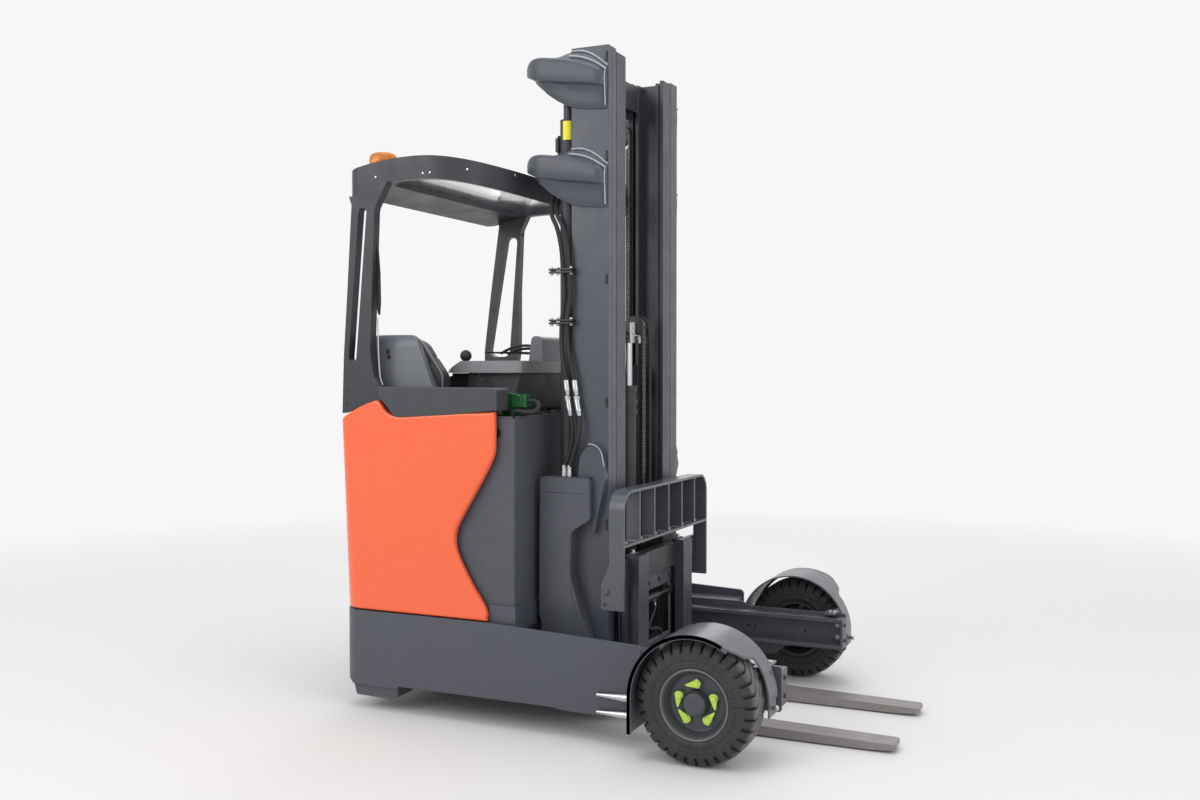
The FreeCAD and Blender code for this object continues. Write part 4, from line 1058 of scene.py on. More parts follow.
def makeChains():
    cx, cz = forkChain["wheel"]
    sheave = [(-0.016, 0.012), (-0.016, 0.036), (-0.0145, 0.036), (-0.0145, 0.0315), (0.0145, 0.0315),
              (0.0145, 0.036), (0.016, 0.036), (0.016, 0.012), (-0.016, 0.012)]
    wheel = makeChain("fork_chain", "", forkChain, forkChain["y"], 6, "free_lift",
                      [(addLathe, sheave, (cx, forkChain["y"], cz), (0, 1, 0), 40)])
    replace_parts(wheel, "lift_chains")
    wheels = []
    for side, word in ((-1, "_right"), (1, "_left")):
        y = side * stageChain["y"]
        wheels.append(makeChain("stage_chain", word, stageChain, y, 4, "middle_mast"))
        onePiece("stage_chain_end" + word, "oiledSteel",
                 [(addBlock, (-0.1545, y - 0.0145, 0.232), (-0.1435, y + 0.0145, 0.262), 0.001)],
                 "inner_mast")
    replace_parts(wheels[0], "stage_chains")
    print("chains made")


hoseShape = {
    "radius": 0.009,
    # (x, y, z) down the mast of the two hoses the CAD part has
    "outer": [(-0.262, -0.304, 2.1495), (-0.262, -0.304, 2.104), (-0.258, -0.352, 2.050),
              (-0.244, -0.384, 2.000), (-0.213, -0.394, 1.950), (-0.194, -0.393, 1.870),
              (-0.187, -0.395, 1.776), (-0.178, -0.396, 1.681), (-0.193, -0.396, 1.575),
              (-0.194, -0.396, 1.470), (-0.171, -0.397, 1.342), (-0.160, -0.398, 1.235),
              (-0.138, -0.400, 1.145), (-0.152, -0.401, 1.060), (-0.180, -0.401, 1.002),
              (-0.180, -0.401, 0.9635)],
    "inner": [(-0.246, -0.280, 2.1495), (-0.246, -0.280, 2.104), (-0.240, -0.342, 2.045),
              (-0.224, -0.375, 2.000), (-0.187, -0.389, 1.950), (-0.166, -0.394, 1.870),
              (-0.160, -0.395, 1.776), (-0.152, -0.396, 1.681), (-0.170, -0.396, 1.575),
              (-0.166, -0.396, 1.470), (-0.135, -0.397, 1.342), (-0.121, -0.398, 1.235),
              (-0.104, -0.408, 1.160), (-0.132, -0.412, 1.062), (-0.156, -0.402, 1.002),
              (-0.156, -0.402, 0.9635)],
    "fittings": ((1.345, 1.285), (1.268, 1.205)),    # heights of their ends
    # (share of the length, how far it stands off the hose)
    "fitting": [(0.0, 0.0), (0.0, 0.0022), (0.10, 0.0034), (0.30, 0.0026), (0.34, 0.0034), (0.54, 0.0026),
                (0.58, 0.0034), (0.80, 0.0026), (0.84, 0.0016), (1.0, 0.0010), (1.0, 0.0)],
    "end": [(0.0, 0.0088), (0.0, 0.0125), (0.022, 0.0125), (0.024, 0.0112), (0.046, 0.0112), (0.047, 0.0095)],
    "label": (-0.194, -0.330, 0.0338),       # barrel's axis and the label's radius
}


# Position along a line of points at a height.
def atHeight(points, z):
    for a, b in zip(points, points[1:]):
        if (a[2] - z) * (b[2] - z) <= 0 and a[2] != b[2]:
            return Vector(a).lerp(Vector(b), (z - a[2]) / (b[2] - a[2]))
    return Vector(points[-1])


def makeHoseTrim():
    spec = hoseShape
    r = spec["radius"]
    body = "reach_carriage"
    steel = []
    for key in ("outer", "inner"):
        line = smoothLine(spec[key], 8)
        for high, low in spec["fittings"]:
            a, b = atHeight(line, high), atHeight(line, low)
            long = (b - a).length
            steel.append((addLathe, [(long * share, r + more) for share, more in spec["fitting"]], a, b - a,
                          20))
        middle = (spec["fittings"][0][1] + spec["fittings"][1][0]) / 2
        steel.append((addBolt, atHeight(line, middle) - Vector((0, 0, 0.008)), (0, 0, 1), 0.0128, 0.015,
                      False))
        steel.append((addLathe, spec["end"], Vector(line[-1]) + Vector((0, 0, 0.0005)), (0, 0, 1), 20))
    onePiece("hose_fittings", "brightSteel", steel, body)
    onePiece("hose_clamp_bolts", "zincPlate", [
        (addBolt, (x, -0.398, z + way * 0.0092), (0, 0, way), 0.0065, 0.006)
        for z in (1.776, 1.576) for x in (-0.236, -0.208, -0.150) for way in (1, -1)], body)

    def label(bm):
        cx, cy, radius = spec["label"]
        angles = [math.radians(-105 + 60 * k / 8) for k in range(9)]
        lower, upper = [[bm.verts.new((cx + radius * math.cos(a), cy + radius * math.sin(a), z))
                         for a in angles] for z in (2.298, 2.372)]
        for i in range(8):
            bm.faces.new((lower[i], lower[i + 1], upper[i + 1], upper[i]))

    onePiece("blank_label", "yellowLabel", [(label,)], body)
    onePiece("hose_bracket", "blackPaint", [
        (addBlock, (-0.243, -0.352, 2.254), (-0.227, -0.312, 2.311), 0.003),
        (addBlock, (-0.236, -0.346, 2.246), (-0.226, -0.318, 2.320), 0.002),
        *[(addBolt, (-0.243, -0.332, z), (-1, 0, 0), 0.006, 0.005) for z in (2.268, 2.297)]], body)
    print("hose details made")


forkHose = {
    "radius": 0.0075,
    "loop": [(-0.094, 0.140, 1.530), (-0.094, 0.140, 1.580), (-0.074, 0.140, 1.612), (-0.047, 0.139, 1.590),
             (-0.037, 0.140, 1.510), (-0.036, 0.141, 1.390), (-0.036, 0.141, 1.350)],
    "low": 0.640,
}


# Hose down to the forks: a loop that rides on the lift rod's head, and a straight run below it on the same
# body.
def makeForkHose():
    spec = forkHose
    joint = spec["loop"][-1]
    body = "free_lift"
    loop = onePiece("fork_hose_loop", "blackRubber",
                    [(addTube, smoothLine(spec["loop"], 10), spec["radius"], 14)], body)
    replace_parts(loop, "fork_hose")
    down = [(joint[0], joint[1], joint[2] + (spec["low"] - joint[2]) * k / 60) for k in range(61)]
    run = onePiece("fork_hose_run", "blackRubber",
                   [(addTube, down, lambda t: spec["radius"] * (1.0 + 0.05 * math.sin(t * 190)), 14)], body)
    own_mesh(run)
    onePiece("fork_hose_fitting", "brightSteel", [
        (addLathe, [(0.0, 0.0075), (0.0, 0.0105), (0.020, 0.0105), (0.023, 0.0095), (0.040, 0.0095),
                    (0.040, 0.0075)],
         (-0.094, 0.140, 1.531), (0, 0, 1), 18)], body)
    print("fork hose made")


seatShape = {
    "voxel": 0.006,
    "shrink": 0.006,             # taken off all round before the pad swells
    "pressure": 4.0,
    "cap": 0.012,                # how far a point may move
    "frames": 20,
    "channel": 0.006,            # depth of a sewn channel
    "piping": 0.0042,
}


# Stuffed pad grown from a CAD solid: remeshed, blown up as cloth, then capped.
def swellNode(node):
    spec = seatShape
    source = cadNodes[node]
    mesh = source.data.copy()
    mesh.materials.clear()
    pad = place(bpy.data.objects.new("pad", mesh))
    low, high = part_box(node)
    middle = (low + high) / 2
    for vert in mesh.vertices:
        for k in range(3):
            vert.co[k] = middle[k] + (vert.co[k] - middle[k]) * (1 - 2 * spec["shrink"] / (high[k] - low[k]))
    mesh.remesh_voxel_size = spec["voxel"]
    bpy.context.view_layer.objects.active = pad
    bpy.ops.object.select_all(action="DESELECT")
    pad.select_set(True)
    bpy.ops.object.voxel_remesh()
    start = [vert.co.copy() for vert in pad.data.vertices]
    cloth = pad.modifiers.new("swell", "CLOTH")
    cloth.settings.use_pressure = True
    cloth.settings.uniform_pressure_force = spec["pressure"]
    cloth.settings.effector_weights.gravity = 0
    for step in range(1, spec["frames"] + 1):
        bpy.context.scene.frame_set(step)
    swollen = pad.evaluated_get(bpy.context.evaluated_depsgraph_get()).data
    moved = [vert.co.copy() for vert in swollen.vertices]
    pad.modifiers.clear()
    bpy.context.scene.frame_set(1)
    for vert, before, after in zip(pad.data.vertices, start, moved):
        shift = after - before
        if shift.length > spec["cap"]:
            shift *= spec["cap"] / shift.length
        vert.co = before + shift
    return pad, low, high


# Presses channels into a pad: (axis, place, half width). Limits hold it in its space: (axis, least, most).
def sewPad(pad, name, node, channels, limits):
    pad.modifiers.new("finer", "SUBSURF").levels = 1
    mesh = bpy.data.meshes.new_from_object(pad.evaluated_get(bpy.context.evaluated_depsgraph_get()))
    bpy.data.objects.remove(pad)
    normals = [vert.normal.copy() for vert in mesh.vertices]
    for vert, normal in zip(mesh.vertices, normals):
        for axis, spot, wide in channels:
            gap = abs(vert.co[axis] - spot) / wide
            if gap < 1:
                vert.co -= normal * (seatShape["channel"] * (1 - gap) ** 2)
        for axis, least, most in limits:
            vert.co[axis] = min(most, max(least, vert.co[axis]))
    piece = finishMesh(name, mesh, "seatVinyl", "chassis", 80.0)
    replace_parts(piece, node)


def makeSeat():
    pad, low, high = swellNode("seat_cushion")
    sewPad(pad, "cushion_pad", "seat_cushion",
           [(0, low.x + 0.095, 0.010), (0, high.x - 0.095, 0.010), (1, high.y - 0.13, 0.010)],
           [(2, low.z, high.z + 0.012), (1, low.y + 0.001, high.y + 0.008),
            (0, low.x - 0.004, high.x + 0.006)])
    pad, low, high = swellNode("seat_back")
    sewPad(pad, "back_pad", "seat_back",
           [(0, low.x + 0.085, 0.009), (0, high.x - 0.075, 0.009), (2, 1.30, 0.010)],
           [(1, low.y + 0.0002, high.y + 0.010), (2, low.z - 0.001, high.z + 0.008),
            (0, low.x - 0.004, high.x + 0.008)])
    line = rounded([(-1.050, 1.150, 0.03), (-1.050, 1.527, 0.062), (-0.806, 1.527, 0.095),
                    (-0.690, 1.368, 0.06), (-0.690, 1.150, 0.03)], 8)
    loop = [(x, -0.4835, z) for x, z in line]
    onePiece("seat_piping", "shellPlastic", [(addTube, loop + loop[:1], seatShape["piping"], 10)],
             smooth=60.0)
    onePiece("seat_shell_plugs", "blackRubber", [
        (addLathe, [(0.0, 0.009), (0.0015, 0.009), (0.002, 0.007), (0.002, 0.0)], (x, -0.5175, z),
         (0, -1, 0), 18) for x, z in ((-0.931, 1.462), (-0.927, 1.440))])
    print("seat made")


cabShape = {
    "screen": (-0.0885, 0.0685, 1.444, 1.508),       # y and z limits
    "housing": ((-0.776, -0.300, 1.212), (-0.668, 0.020, 1.373)),
    "ball": (-0.690, -0.300, 1.446, 0.0248),         # centre and radius of the lever's knob
    "wheel": (-0.932, 0.255, 1.140),
}


def makeCab():
    spec = cabShape
    y0, y1, z0, z1 = spec["screen"]
    corners = [(-0.4868 + (z - z0) * 0.13 - 0.0006, y, z) for y, z in
               rounded([(y0, z0, 0.006), (y1, z0, 0.006), (y1, z1, 0.006), (y0, z1, 0.006)], 4)]
    onePiece("display_screen", "screenGlass",
             [(addLoft, [corners, [(x + 0.0015, y, z) for x, y, z in corners]])])
    onePiece("display_keys", "shellPlastic", [
        (addPrism, circle(0.0075, 20), 0.004,
         Matrix.Translation((-0.4898, -0.072 + 0.031 * k, 1.432)) @ turnTo((-1, 0, 0.1)), 0.001)
        for k in range(5)])
    low, high = spec["housing"]
    onePiece("console_housing", "blackPaint", [
        (addBlock, low, high, 0.012),
        (addBlock, (low[0] - 0.006, -0.27, 1.245), (low[0] + 0.002, -0.02, 1.345), 0.004),
        (addTube, smoothLine([(-0.60, -0.338, 1.372), (-0.60, -0.338, 1.345), (-0.585, -0.338, 1.336),
                              (-0.568, -0.338, 1.342)], 6), 0.0035, 8)])
    bx, by, bz, r = spec["ball"]
    around = [(r * (1 - math.cos(math.pi * k / 12)), r * math.sin(math.pi * k / 12)) for k in range(13)]
    onePiece("console_ball", "blackPaint", [(addLathe, around, (bx, by, bz - r), (0, 0, 1), 28)])
    onePiece("console_mat", "blackRubber",
             [(addBlock, (-0.735, -0.075, 1.4605), (-0.560, 0.395, 1.4665), 0.003)])
    onePiece("display_cables", "blackRubber", [
        (addTube, smoothLine([(-0.700 + side, 0.02 + side, 1.461), (-0.665, 0.012 + side, 1.476 - drop),
                              (-0.618, side, 1.489 - drop), (-0.560, side - 0.01, 1.494 - drop),
                              (-0.496, side - 0.015, 1.488 - drop), (-0.470, side - 0.015, 1.484 - drop)], 8),
         0.0060, 12) for side, drop in ((0.0, 0.0), (0.022, 0.013))])
    x, y, z = spec["wheel"]
    angle = math.radians(140)
    spot = (x + 0.105 * math.cos(angle), y + 0.105 * math.sin(angle), z + 0.010)
    onePiece("wheel_knob", "darkPlastic", [
        (addLathe, [(0.0, 0.008), (0.012, 0.007), (0.014, 0.016), (0.022, 0.020), (0.036, 0.020),
                    (0.044, 0.014), (0.047, 0.0)], spot, (0, 0, 1), 24),
        (addLathe, [(0.0, 0.024), (0.004, 0.024), (0.007, 0.020), (0.008, 0.0)], (x, y, z + 0.0045),
         (0, 0, 1), 28)], "steering_wheel")
    ribs = [((x, -0.085, 0.4345), (x + 0.010, 0.400, 0.4375))
            for x in (-0.985 + k * 0.020 for k in range(15))]
    ribs += [((x + 0.005, y, 0.4525), (x + 0.065, y + 0.007, 0.4555)) for x in (-0.940, -0.850)
             for y in (0.427 + k * 0.014 for k in range(8))]
    onePiece("floor_ribs", "blackRubber", [(addBlock, a, b, 0.0008) for a, b in ribs])
    onePiece("motor_cover_vents", "blackPaint", [
        *[(addBlock, (-0.98, a, z), (-0.76, b, z + 0.008), 0.0006)
          for a, b in ((-0.557, -0.553), (-0.107, -0.103)) for z in (0.520 + k * 0.022 for k in range(9))],
        *[(addBolt, (x, y, 0.960), (0, 0, 1), 0.009, 0.006) for x in (-1.035, -0.700)
          for y in (-0.52, -0.14)]])
    print("cab details made")


guardShape = {
    "beacon": (-0.975, -0.480, 2.2185),
    "lens": [(0.016, 0.0545), (0.020, 0.0575), (0.034, 0.0580), (0.050, 0.0560), (0.058, 0.0520),
             (0.0635, 0.0440), (0.0670, 0.0300), (0.0690, 0.0)],
    "roofDrop": 0.036,           # the clear sheet sits this far below the CAD one, near the ring's underside
    # (x, x, y, y, z of its rear edge, z of its front edge) up the rubber tongue
    "tongue": [(-0.9425, -0.9345, -0.572, -0.566, 1.615, 1.609),
               (-0.9495, -0.9305, -0.573, -0.565, 1.66, 1.66), (-0.9505, -0.9325, -0.573, -0.565, 1.78, 1.78),
               (-0.9505, -0.9425, -0.573, -0.565, 1.90, 1.90)],
    "strip": [(-0.943, -0.572, 1.60), (-0.939, -0.572, 1.45), (-0.932, -0.572, 1.36),
              (-0.918, -0.574, 1.325)],
}


def makeGuardTrim():
    spec = guardShape
    bx, by, bz = spec["beacon"]
    sideHead = [(0.0, 0.0042), (0.0015, 0.0038), (0.002, 0.0)]
    endHead = [(0.0, 0.006), (0.002, 0.005), (0.003, 0.0)]
    onePiece("guard_screws", "brightSteel", [
        *[(addLathe, sideHead, (x, side * 0.6001, 2.166), (0, side, 0), 14) for side in (-1, 1)
          for x in (-0.93, -0.705, -0.672, -0.50)],
        *[(addLathe, endHead, (x, y * 0.9, 2.166), (way, 0, 0), 14)
          for x, way in ((-1.0762, -1), (-0.3998, 1)) for y in (-0.44, -0.2, 0.2, 0.44)]])
    # Flat black discs where the guard has holes: painted shade in the holes.
    onePiece("guard_holes", "blackPaint", [
        *[(addLathe, [(0.0, 0.009), (0.0008, 0.009), (0.0009, 0.0)], (x, 0.5598, z), (0, -1, 0), 16)
          for x, z in ((-1.000, 1.993), (-1.055, 1.687), (-0.881, 2.054), (-0.922, 1.663))],
        *[(addLathe, [(0.0, 0.007), (0.0006, 0.007), (0.0007, 0.0)], (x, -0.6001, z), (0, -1, 0), 16)
          for x, z in ((-1.078, 1.30), (-1.078, 1.245), (-0.905, 1.32))]])
    onePiece("beacon_base", "blackRubber", [
        (addLathe, [(0.0, 0.064), (0.010, 0.064), (0.014, 0.060), (0.016, 0.052), (0.016, 0.0)], (bx, by, bz),
         (0, 0, 1), 40)])

    def lens(bm):
        turns = [2 * math.pi * i / 96 for i in range(96)]
        rings = []
        for along, radius in spec["lens"]:
            rib = 0.0009 if 0.018 < along < 0.055 else 0.0
            ring = [(radius + rib * math.cos(turn * 24), turn) for turn in turns] if radius else [(0.0, 0.0)]
            rings.append([bm.verts.new((bx + r * math.cos(turn), by + r * math.sin(turn), bz + along))
                          for r, turn in ring])
        for a, b in zip(rings, rings[1:]):
            addBand(bm, a, b)
        bm.faces.new(rings[0][::-1])

    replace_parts(onePiece("beacon_lens", "amberLens", [(lens,)], "chassis", 60.0), "beacon")
    onePiece("beacon_core", "brightSteel", [
        (addLathe, [(0.0, 0.020), (0.030, 0.020), (0.034, 0.016), (0.040, 0.0)], (bx, by, 2.235), (0, 0, 1),
         24),
        (addBlock, (bx - 0.004, by - 0.026, 2.237), (bx + 0.004, by + 0.026, 2.268), 0.002)])

    sheet = cadNodes["roof_panel"].data.copy()
    sheet.materials.clear()
    sheet.transform(Matrix.Translation((0, 0, -spec["roofDrop"])))
    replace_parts(finishMesh("roof_sheet", sheet, "roofSheet", "chassis", 30.0), "roof_panel")
    onePiece("guard_tongue", "blackRubber", [
        (addLoft, [[(x0, y0, low), (x1, y0, high), (x1, y1, high), (x0, y1, low)]
                   for x0, x1, y0, y1, low, high in spec["tongue"]])], smooth=50.0)
    onePiece("guard_strip", "whitePlastic", [(addTube, smoothLine(spec["strip"], 8), 0.0028, 8)])
    print("guard details made")


# Outlines are (x, z).
carriageShape = {
    "towerBolts": ((-0.245, 0.275), (-0.10, 0.225), (-0.43, 0.225)),
    "towerEdge": [(-0.272, 0.955), (-0.262, 0.9635), (-0.066, 0.9635), (-0.0555, 0.952), (-0.0555, 0.802),
                  (-0.132, 0.755), (-0.1395, 0.735), (-0.1405, 0.62), (-0.132, 0.50), (-0.095, 0.39),
                  (-0.056, 0.30), (-0.044, 0.20)],
    "earEdge": [(-0.075, 1.0950), (-0.055, 1.0935), (-0.033, 1.083), (-0.0175, 1.060), (-0.006, 1.010)],
}


# Nuts, plates and welds on the reach carriage and mast.
def makeCarriageTrim():
    spec = carriageShape
    body = "reach_carriage"
    bothSides("tower_bolts", "darkPaint", lambda side: [
        *[(addBolt, (x, side * 0.4302, z), (0, side, 0), 0.0095, 0.007) for x, z in spec["towerBolts"]],
        (addLathe, [(0.0, 0.030), (0.004, 0.030), (0.007, 0.026), (0.008, 0.0)],
         (-0.335, side * 0.4302, 0.245), (0, side, 0), 28),
        *[(addLathe, [(0.0, 0.026), (0.002, 0.024), (0.003, 0.010), (0.003, 0.0)], (x, side * 0.4882, 0.249),
           (0, side, 0), 28) for x in (-0.435, -0.070)]], body)
    bothSides("tower_edges", "towerPaint", lambda side: [
        (addBead, [(x, side * 0.431 * 0.9995, z) for x, z in spec["towerEdge"]], 0.0016, 6)], body, 60.0)
    bothSides("ear_welds", "weldBeadHighlight", lambda side: [
        (addBead, smoothLine([(x, side * 0.4015, z) for x, z in spec["earEdge"]], 6), 0.0032)], body, 60.0)
    bothSides("mast_seams", "blackPaint", lambda side: [
        (addBlock, (-0.0015, side * 0.338 - 0.0012, 0.10), (0.0, side * 0.338 + 0.0012, 2.640), 0.0),
        *[(addBlock, (-0.012, side * 0.3725 - 0.004, z), (-0.004, side * 0.3725 + 0.004, z + 0.040), 0.001)
          for z in (2.585, 2.20, 1.72, 1.24, 0.76, 0.28)]], body)
    bothSides("mast_wear", "brightSteel", lambda side: [
        (addBlock, (-0.0217, side * 0.262 - 0.0035, 0.12), (-0.0213, side * 0.262 + 0.0035, 2.60), 0.0)],
        "inner_mast")

    def anchors(side):
        rows = []
        for dy in (-0.012, 0.012):
            y = side * (0.187 + dy * 0.55)
            rows += [(addPrism, circle(0.0065, 16), 0.048, Matrix.Translation((-0.257, y, 2.112)), 0.001),
                     (addBolt, (-0.257, y, 2.150), (0, 0, -1), 0.0105, 0.010),
                     (addBolt, (-0.257, y, 2.136), (0, 0, -1), 0.0105, 0.010, False)]
        y = side * 0.187
        return rows + [(addBlock, (-0.2665, y - 0.0155, 2.186), (-0.2475, y + 0.0155, 2.206), 0.002)]

    bothSides("chain_anchors", "zincPlate", anchors, body)
    print("mast details made")


backrestShape = {
    "bolts": (-0.39, -0.234, -0.078, 0.078, 0.234, 0.39),
    "welds": (-0.312, -0.156, 0.0, 0.156, 0.312),
    "beams": ((0.470, 0.634), (0.176, 0.262)),       # heights of the two main beams
    "hoses": [[(0.045, -0.130, 0.424), (0.046, -0.128, 0.395), (0.047, -0.100, 0.345), (0.046, -0.040, 0.310),
               (0.045, 0.020, 0.300), (0.042, 0.070, 0.285), (0.040, 0.090, 0.262)],
              [(0.045, 0.000, 0.424), (0.047, -0.004, 0.390), (0.048, -0.050, 0.345), (0.047, -0.095, 0.315),
               (0.045, -0.120, 0.290), (0.042, -0.130, 0.262)]],
}


# Bolts and welds of the backrest, and the side shifter's beams, cylinder and hoses.
def makeForkTrim():
    spec = backrestShape
    body = "side_shifter"
    bothSides("backrest_bolts", "framePaint", lambda side: [
        (addBolt, (0.036, side * 0.4742, 0.536), (0, side, 0), 0.0115, 0.009),
        (addLathe, [(0.0, 0.008), (0.0008, 0.008), (0.0009, 0.0)], (0.060, side * 0.4741, 0.488),
         (0, side, 0), 18)], body)
    onePiece("backrest_welds", "weldBeadHighlight", [
        (addBead, [(0.060 + k * 0.0045, y + sign * 0.0060, 0.7155) for k in range(10)], 0.0022, 6)
        for y in spec["welds"] for sign in (-1, 1)], body, 60.0)
    onePiece("backrest_rail_bolts", "zincPlate", [
        (addBolt, (0.080, y, 0.7135), (0, 0, 1), 0.0070, 0.005) for y in spec["bolts"]], body)
    onePiece("shift_beams", "framePaint", [
        *[(addBlock, (0.0372, -0.196, z0), (0.0425, 0.196, z1), 0.0024) for z0, z1 in spec["beams"]],
        (addBlock, (0.040, -0.194, 0.545), (0.046, 0.194, 0.560), 0.002),
        (addBlock, (0.040, -0.194, 0.606), (0.047, 0.194, 0.628), 0.003),
        *[(addBlock, (0.036, y - 0.010, 0.262), (0.0415, y + 0.010, 0.470), 0.002) for y in (-0.185, 0.185)]],
             body)
    onePiece("shift_beam_bolts", "darkPaint", [
        *[(addBolt, (0.0425, y, z), (1, 0, 0), 0.0082, 0.006) for y in (-0.172, -0.058, 0.058, 0.172)
          for z in (0.500, 0.218)],
        *[(addBolt, (0.0425, y, 0.583), (1, 0, 0), 0.0070, 0.005) for y in (-0.12, 0.12)]], body)
    onePiece("shift_cylinder", "blackPaint", [
        (addTube, [(0.046, -0.150, 0.440), (0.046, 0.020, 0.440)], 0.0165, 24),
        (addTube, [(0.046, 0.020, 0.440), (0.046, 0.160, 0.440)], 0.0085, 16),
        (addBlock, (0.038, -0.165, 0.424), (0.056, -0.146, 0.456), 0.003),
        (addBlock, (0.038, 0.152, 0.426), (0.056, 0.172, 0.454), 0.003)], body)
    onePiece("shift_hoses", "blackRubber", [
        (addTube, smoothLine(line, 8), 0.0062, 12) for line in spec["hoses"]], body, 60.0)
    fittings = []
    for y in (-0.130, 0.000):
        fittings += [(addBolt, (0.045, y, 0.424), (0, 0, -1), 0.0085, 0.012, False),
                     (addLathe, [(0.0, 0.0074), (0.016, 0.0074), (0.017, 0.0064)], (0.045, y, 0.424 - 0.012),
                      (0, 0, -1), 18)]
    fittings.append((addBolt, (0.042, -0.176, 0.440), (1, 0, 0), 0.008, 0.01))
    onePiece("shift_fittings", "brightSteel", fittings, body)
    bothSides("fork_latches", "zincPlate", lambda side: [
        (addBlock, (0.046, side * 0.2515 - 0.018, 0.642), (0.060, side * 0.2515 + 0.018, 0.658), 0.003),
        (addPrism, circle(0.0075, 18), 0.016, Matrix.Translation((0.053, side * 0.2515, 0.654)), 0.0015)],
              body)
    print("fork details made")


batteryShape = {
    "cells": (3, 8),
    "cellsY": (-0.44, 0.566),
}


def makeBatteryTop():
    low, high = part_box("battery")
    top = high.z
    rows, columns = batteryShape["cells"]
    x0, x1 = low.x + 0.018, high.x - 0.018
    y0, y1 = batteryShape["cellsY"]
    deep, wide = (x1 - x0) / rows, (y1 - y0) / columns
    cells = [(x0 + deep * i, y0 + wide * k) for i in range(rows) for k in range(columns)]
    onePiece("battery_cells", "blackPaint", [
        (addBlock, (x + 0.003, y + 0.003, top + 0.0002), (x + deep - 0.003, y + wide - 0.003, top + 0.0075),
         0.002) for x, y in cells])
    onePiece("battery_caps", "darkPlastic", [
        (addLathe, [(0.0, 0.014), (0.006, 0.014), (0.009, 0.011), (0.010, 0.0)],
         (x + deep / 2, y + wide / 2, top + 0.0074), (0, 0, 1), 16) for x, y in cells])
    links = [(x0 + deep * (i + 0.5) + 0.032, y0 + wide * (k + 1)) for i in range(rows)
             for k in range(columns - 1)]
    onePiece("battery_links", "blackRubber", [
        (addBlock, (x - 0.007, y - 0.028, top + 0.0078), (x + 0.007, y + 0.028, top + 0.0115), 0.001)
        for x, y in links])
    rim = 0.008
    edges = [(low.x, low.y, high.x, low.y + rim), (low.x, high.y - rim, high.x, high.y),
             (low.x, low.y, low.x + rim, high.y), (high.x - rim, low.y, high.x, high.y)]
    onePiece("battery_rim", "batteryPaint", [
        (addBlock, (a, b, top - 0.002), (c, d, top + 0.005), 0.0012) for a, b, c, d in edges])
    # Flat black discs for the battery's lifting eyes: painted shade in the openings.
    onePiece("battery_eyes", "blackPaint", [
        (addLathe, [(0.0, 0.019), (0.0015, 0.019), (0.0015, 0.0)], (x, side * 0.5832, top - 0.060),
         (0, side, 0), 24) for side in (-1, 1) for x in (low.x + 0.075, high.x - 0.075)])

    low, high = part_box("battery_connector")
    arch = [(low.x + 0.020, 0.004, 0.052), (low.x + 0.030, -0.010, 0.085), (low.x + 0.075, -0.014, 0.092),
            (high.x - 0.018, -0.010, 0.084), (high.x - 0.010, 0.004, 0.052)]
    onePiece("connector_handle", "greenPlastic", [
        (addTube, smoothLine([(x, low.y + dy, low.z + dz) for x, dy, dz in arch], 8), 0.0036, 10)],
             smooth=60.0)
    onePiece("connector_trim", "blackRubber", [
        (addBlock, (low.x + 0.060, low.y - 0.0012, low.z + 0.016),
         (low.x + 0.066, high.y + 0.0012, low.z + 0.060), 0.001),
        *[(addBlock, (x - 0.030, low.y + 0.010, low.z + 0.018), (x - 0.027, high.y - 0.010, low.z + 0.058),
           0.001) for x in (high.x + k * 0.006 for k in range(5))]])
    print("battery top made")


chassisShape = {
    "rear": -1.100,
    "drive": (-0.865, -0.200, 0.165),        # steering axis, and the drive wheel's axle height
    "screw": [(0.0, 0.011), (0.003, 0.011), (0.005, 0.008), (0.005, 0.004), (0.003, 0.0038), (0.003, 0.0)],
    "fin": [(0.0, 0.0795), (0.001, 0.0815), (0.004, 0.0815), (0.005, 0.0795)],
}


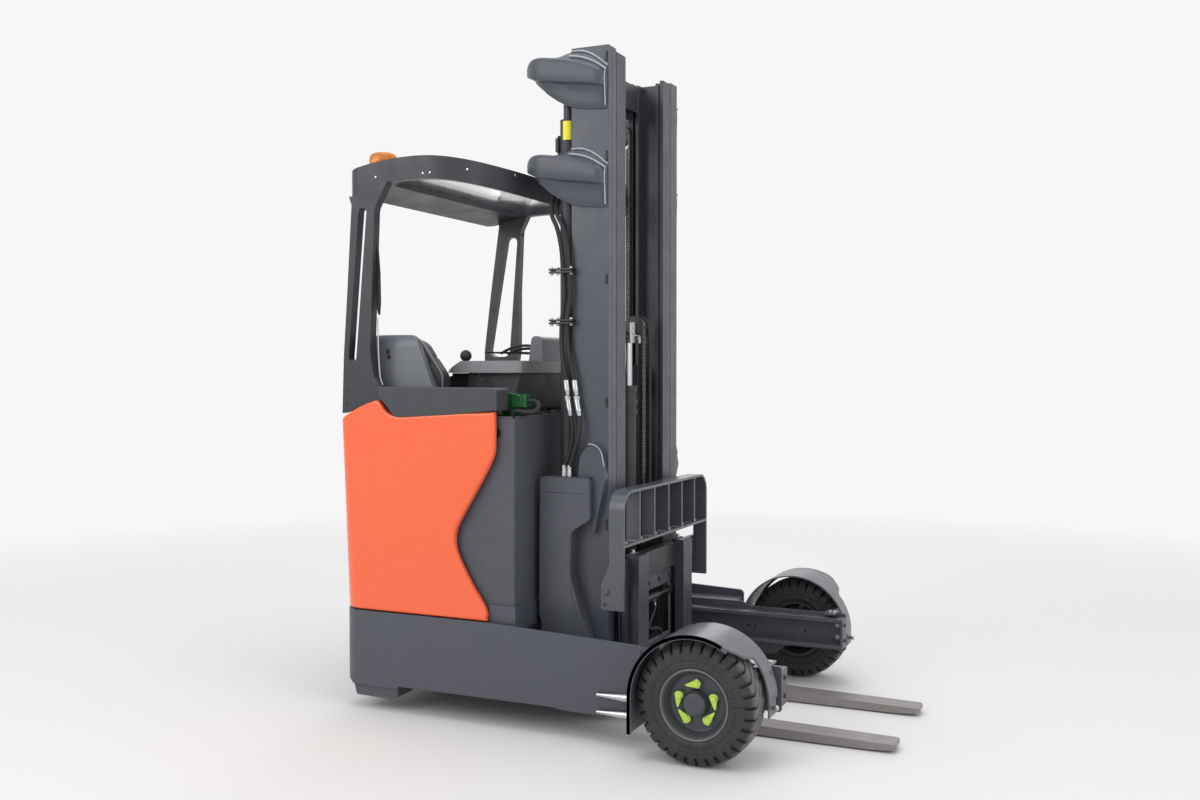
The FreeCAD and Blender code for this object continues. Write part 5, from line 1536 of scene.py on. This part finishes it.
def makeChassisTrim():
    spec = chassisShape
    dx, dy, dz = spec["drive"]

    def railBolts(side):
        rows = []
        for z in (0.216, 0.282):
            rows.append((addBolt, (0.7382, side * 0.475, z), (1, 0, 0), 0.0075, 0.005))
            rows += [(addBolt, (x, side * 0.5048, z), (0, -side, 0), 0.0080, 0.006) for x in (0.700, 0.660)]
        return rows + [(addLathe, [(0.0, 0.011), (0.0015, 0.011), (0.0016, 0.0)], (x, side * 0.5046, 0.250),
                        (0, -side, 0), 18) for x in (0.60, 0.30, 0.0, -0.30)]

    bothSides("rail_bolts", "darkPaint", railBolts)
    bothSides("rail_wear", "brightSteel", lambda side: [
        (addBlock, (-0.50, side * 0.470 - 0.014, 0.3128), (0.69, side * 0.470 + 0.014, 0.3138), 0.0)])
    onePiece("rear_screws", "zincPlate", [
        (addLathe, spec["screw"], (spec["rear"] + 0.0052, y, z), (-1, 0, 0), 20)
        for y in (-0.400, 0.400) for z in (0.445, 0.700, 0.955, 1.165)])
    onePiece("rear_grille", "blackPaint", [
        *[(addBlock, (-1.0998, -0.260, z), (-1.0960, 0.260, z + 0.010), 0.0015)
          for z in (0.545 + k * 0.026 for k in range(12))],
        *[(addBlock, (-1.0998, -0.395, z), (-1.0970, 0.395, z + 0.0025), 0.0) for z in (1.020, 0.500)]])
    onePiece("bumper_details", "blackPaint", [row for side in (-1, 1) for row in (
        (addLathe, [(0.0, 0.014), (0.002, 0.014), (0.0021, 0.0)], (-1.0979, side * 0.30, 0.235), (-1, 0, 0),
         20),
        (addBlock, (-1.0998, side * 0.50 - 0.045, 0.300), (-1.0975, side * 0.50 + 0.045, 0.330), 0.001))])
    onePiece("drive_motor_fins", "castIron", [
        *[(addBolt, (dx + a, dy + b, 0.720), (0, 0, 1), 0.006, 0.005) for a, b in circle(0.066, 8)],
        *[(addLathe, spec["fin"], (dx, dy, 0.455 + k * 0.016), (0, 0, 1), 40) for k in range(14)]],
             "drive_unit")
    onePiece("drive_wheel_bolts", "zincPlate", [
        *[(addBolt, (dx + a, -0.2527, dz + b), (0, -1, 0), 0.009, 0.007) for a, b in circle(0.075, 7)],
        (addLathe, [(0.0, 0.036), (0.006, 0.034), (0.008, 0.0)], (dx, -0.2527, dz), (0, -1, 0), 30),
        (addLathe, [(0.0, 0.108), (0.0012, 0.107), (0.0016, 0.100), (0.0003, 0.098)], (dx, -0.2526, dz),
         (0, -1, 0), 48)], "drive_wheel")
    print("chassis details made")


bpy.context.scene.view_settings.view_transform = "Standard"
for makeStep in (makeMaterials, makeCamera, makeLamps, makeWorld, makeFloor, finishNodes, makeTyres,
                 makeYokes, makeSidePanel, makeWheelTrim, makeFenderTrim, makeChains, makeHoseTrim,
                 makeForkHose, makeSeat, makeCab, makeGuardTrim, makeCarriageTrim, makeForkTrim,
                 makeBatteryTop, makeChassisTrim):
    makeStep()
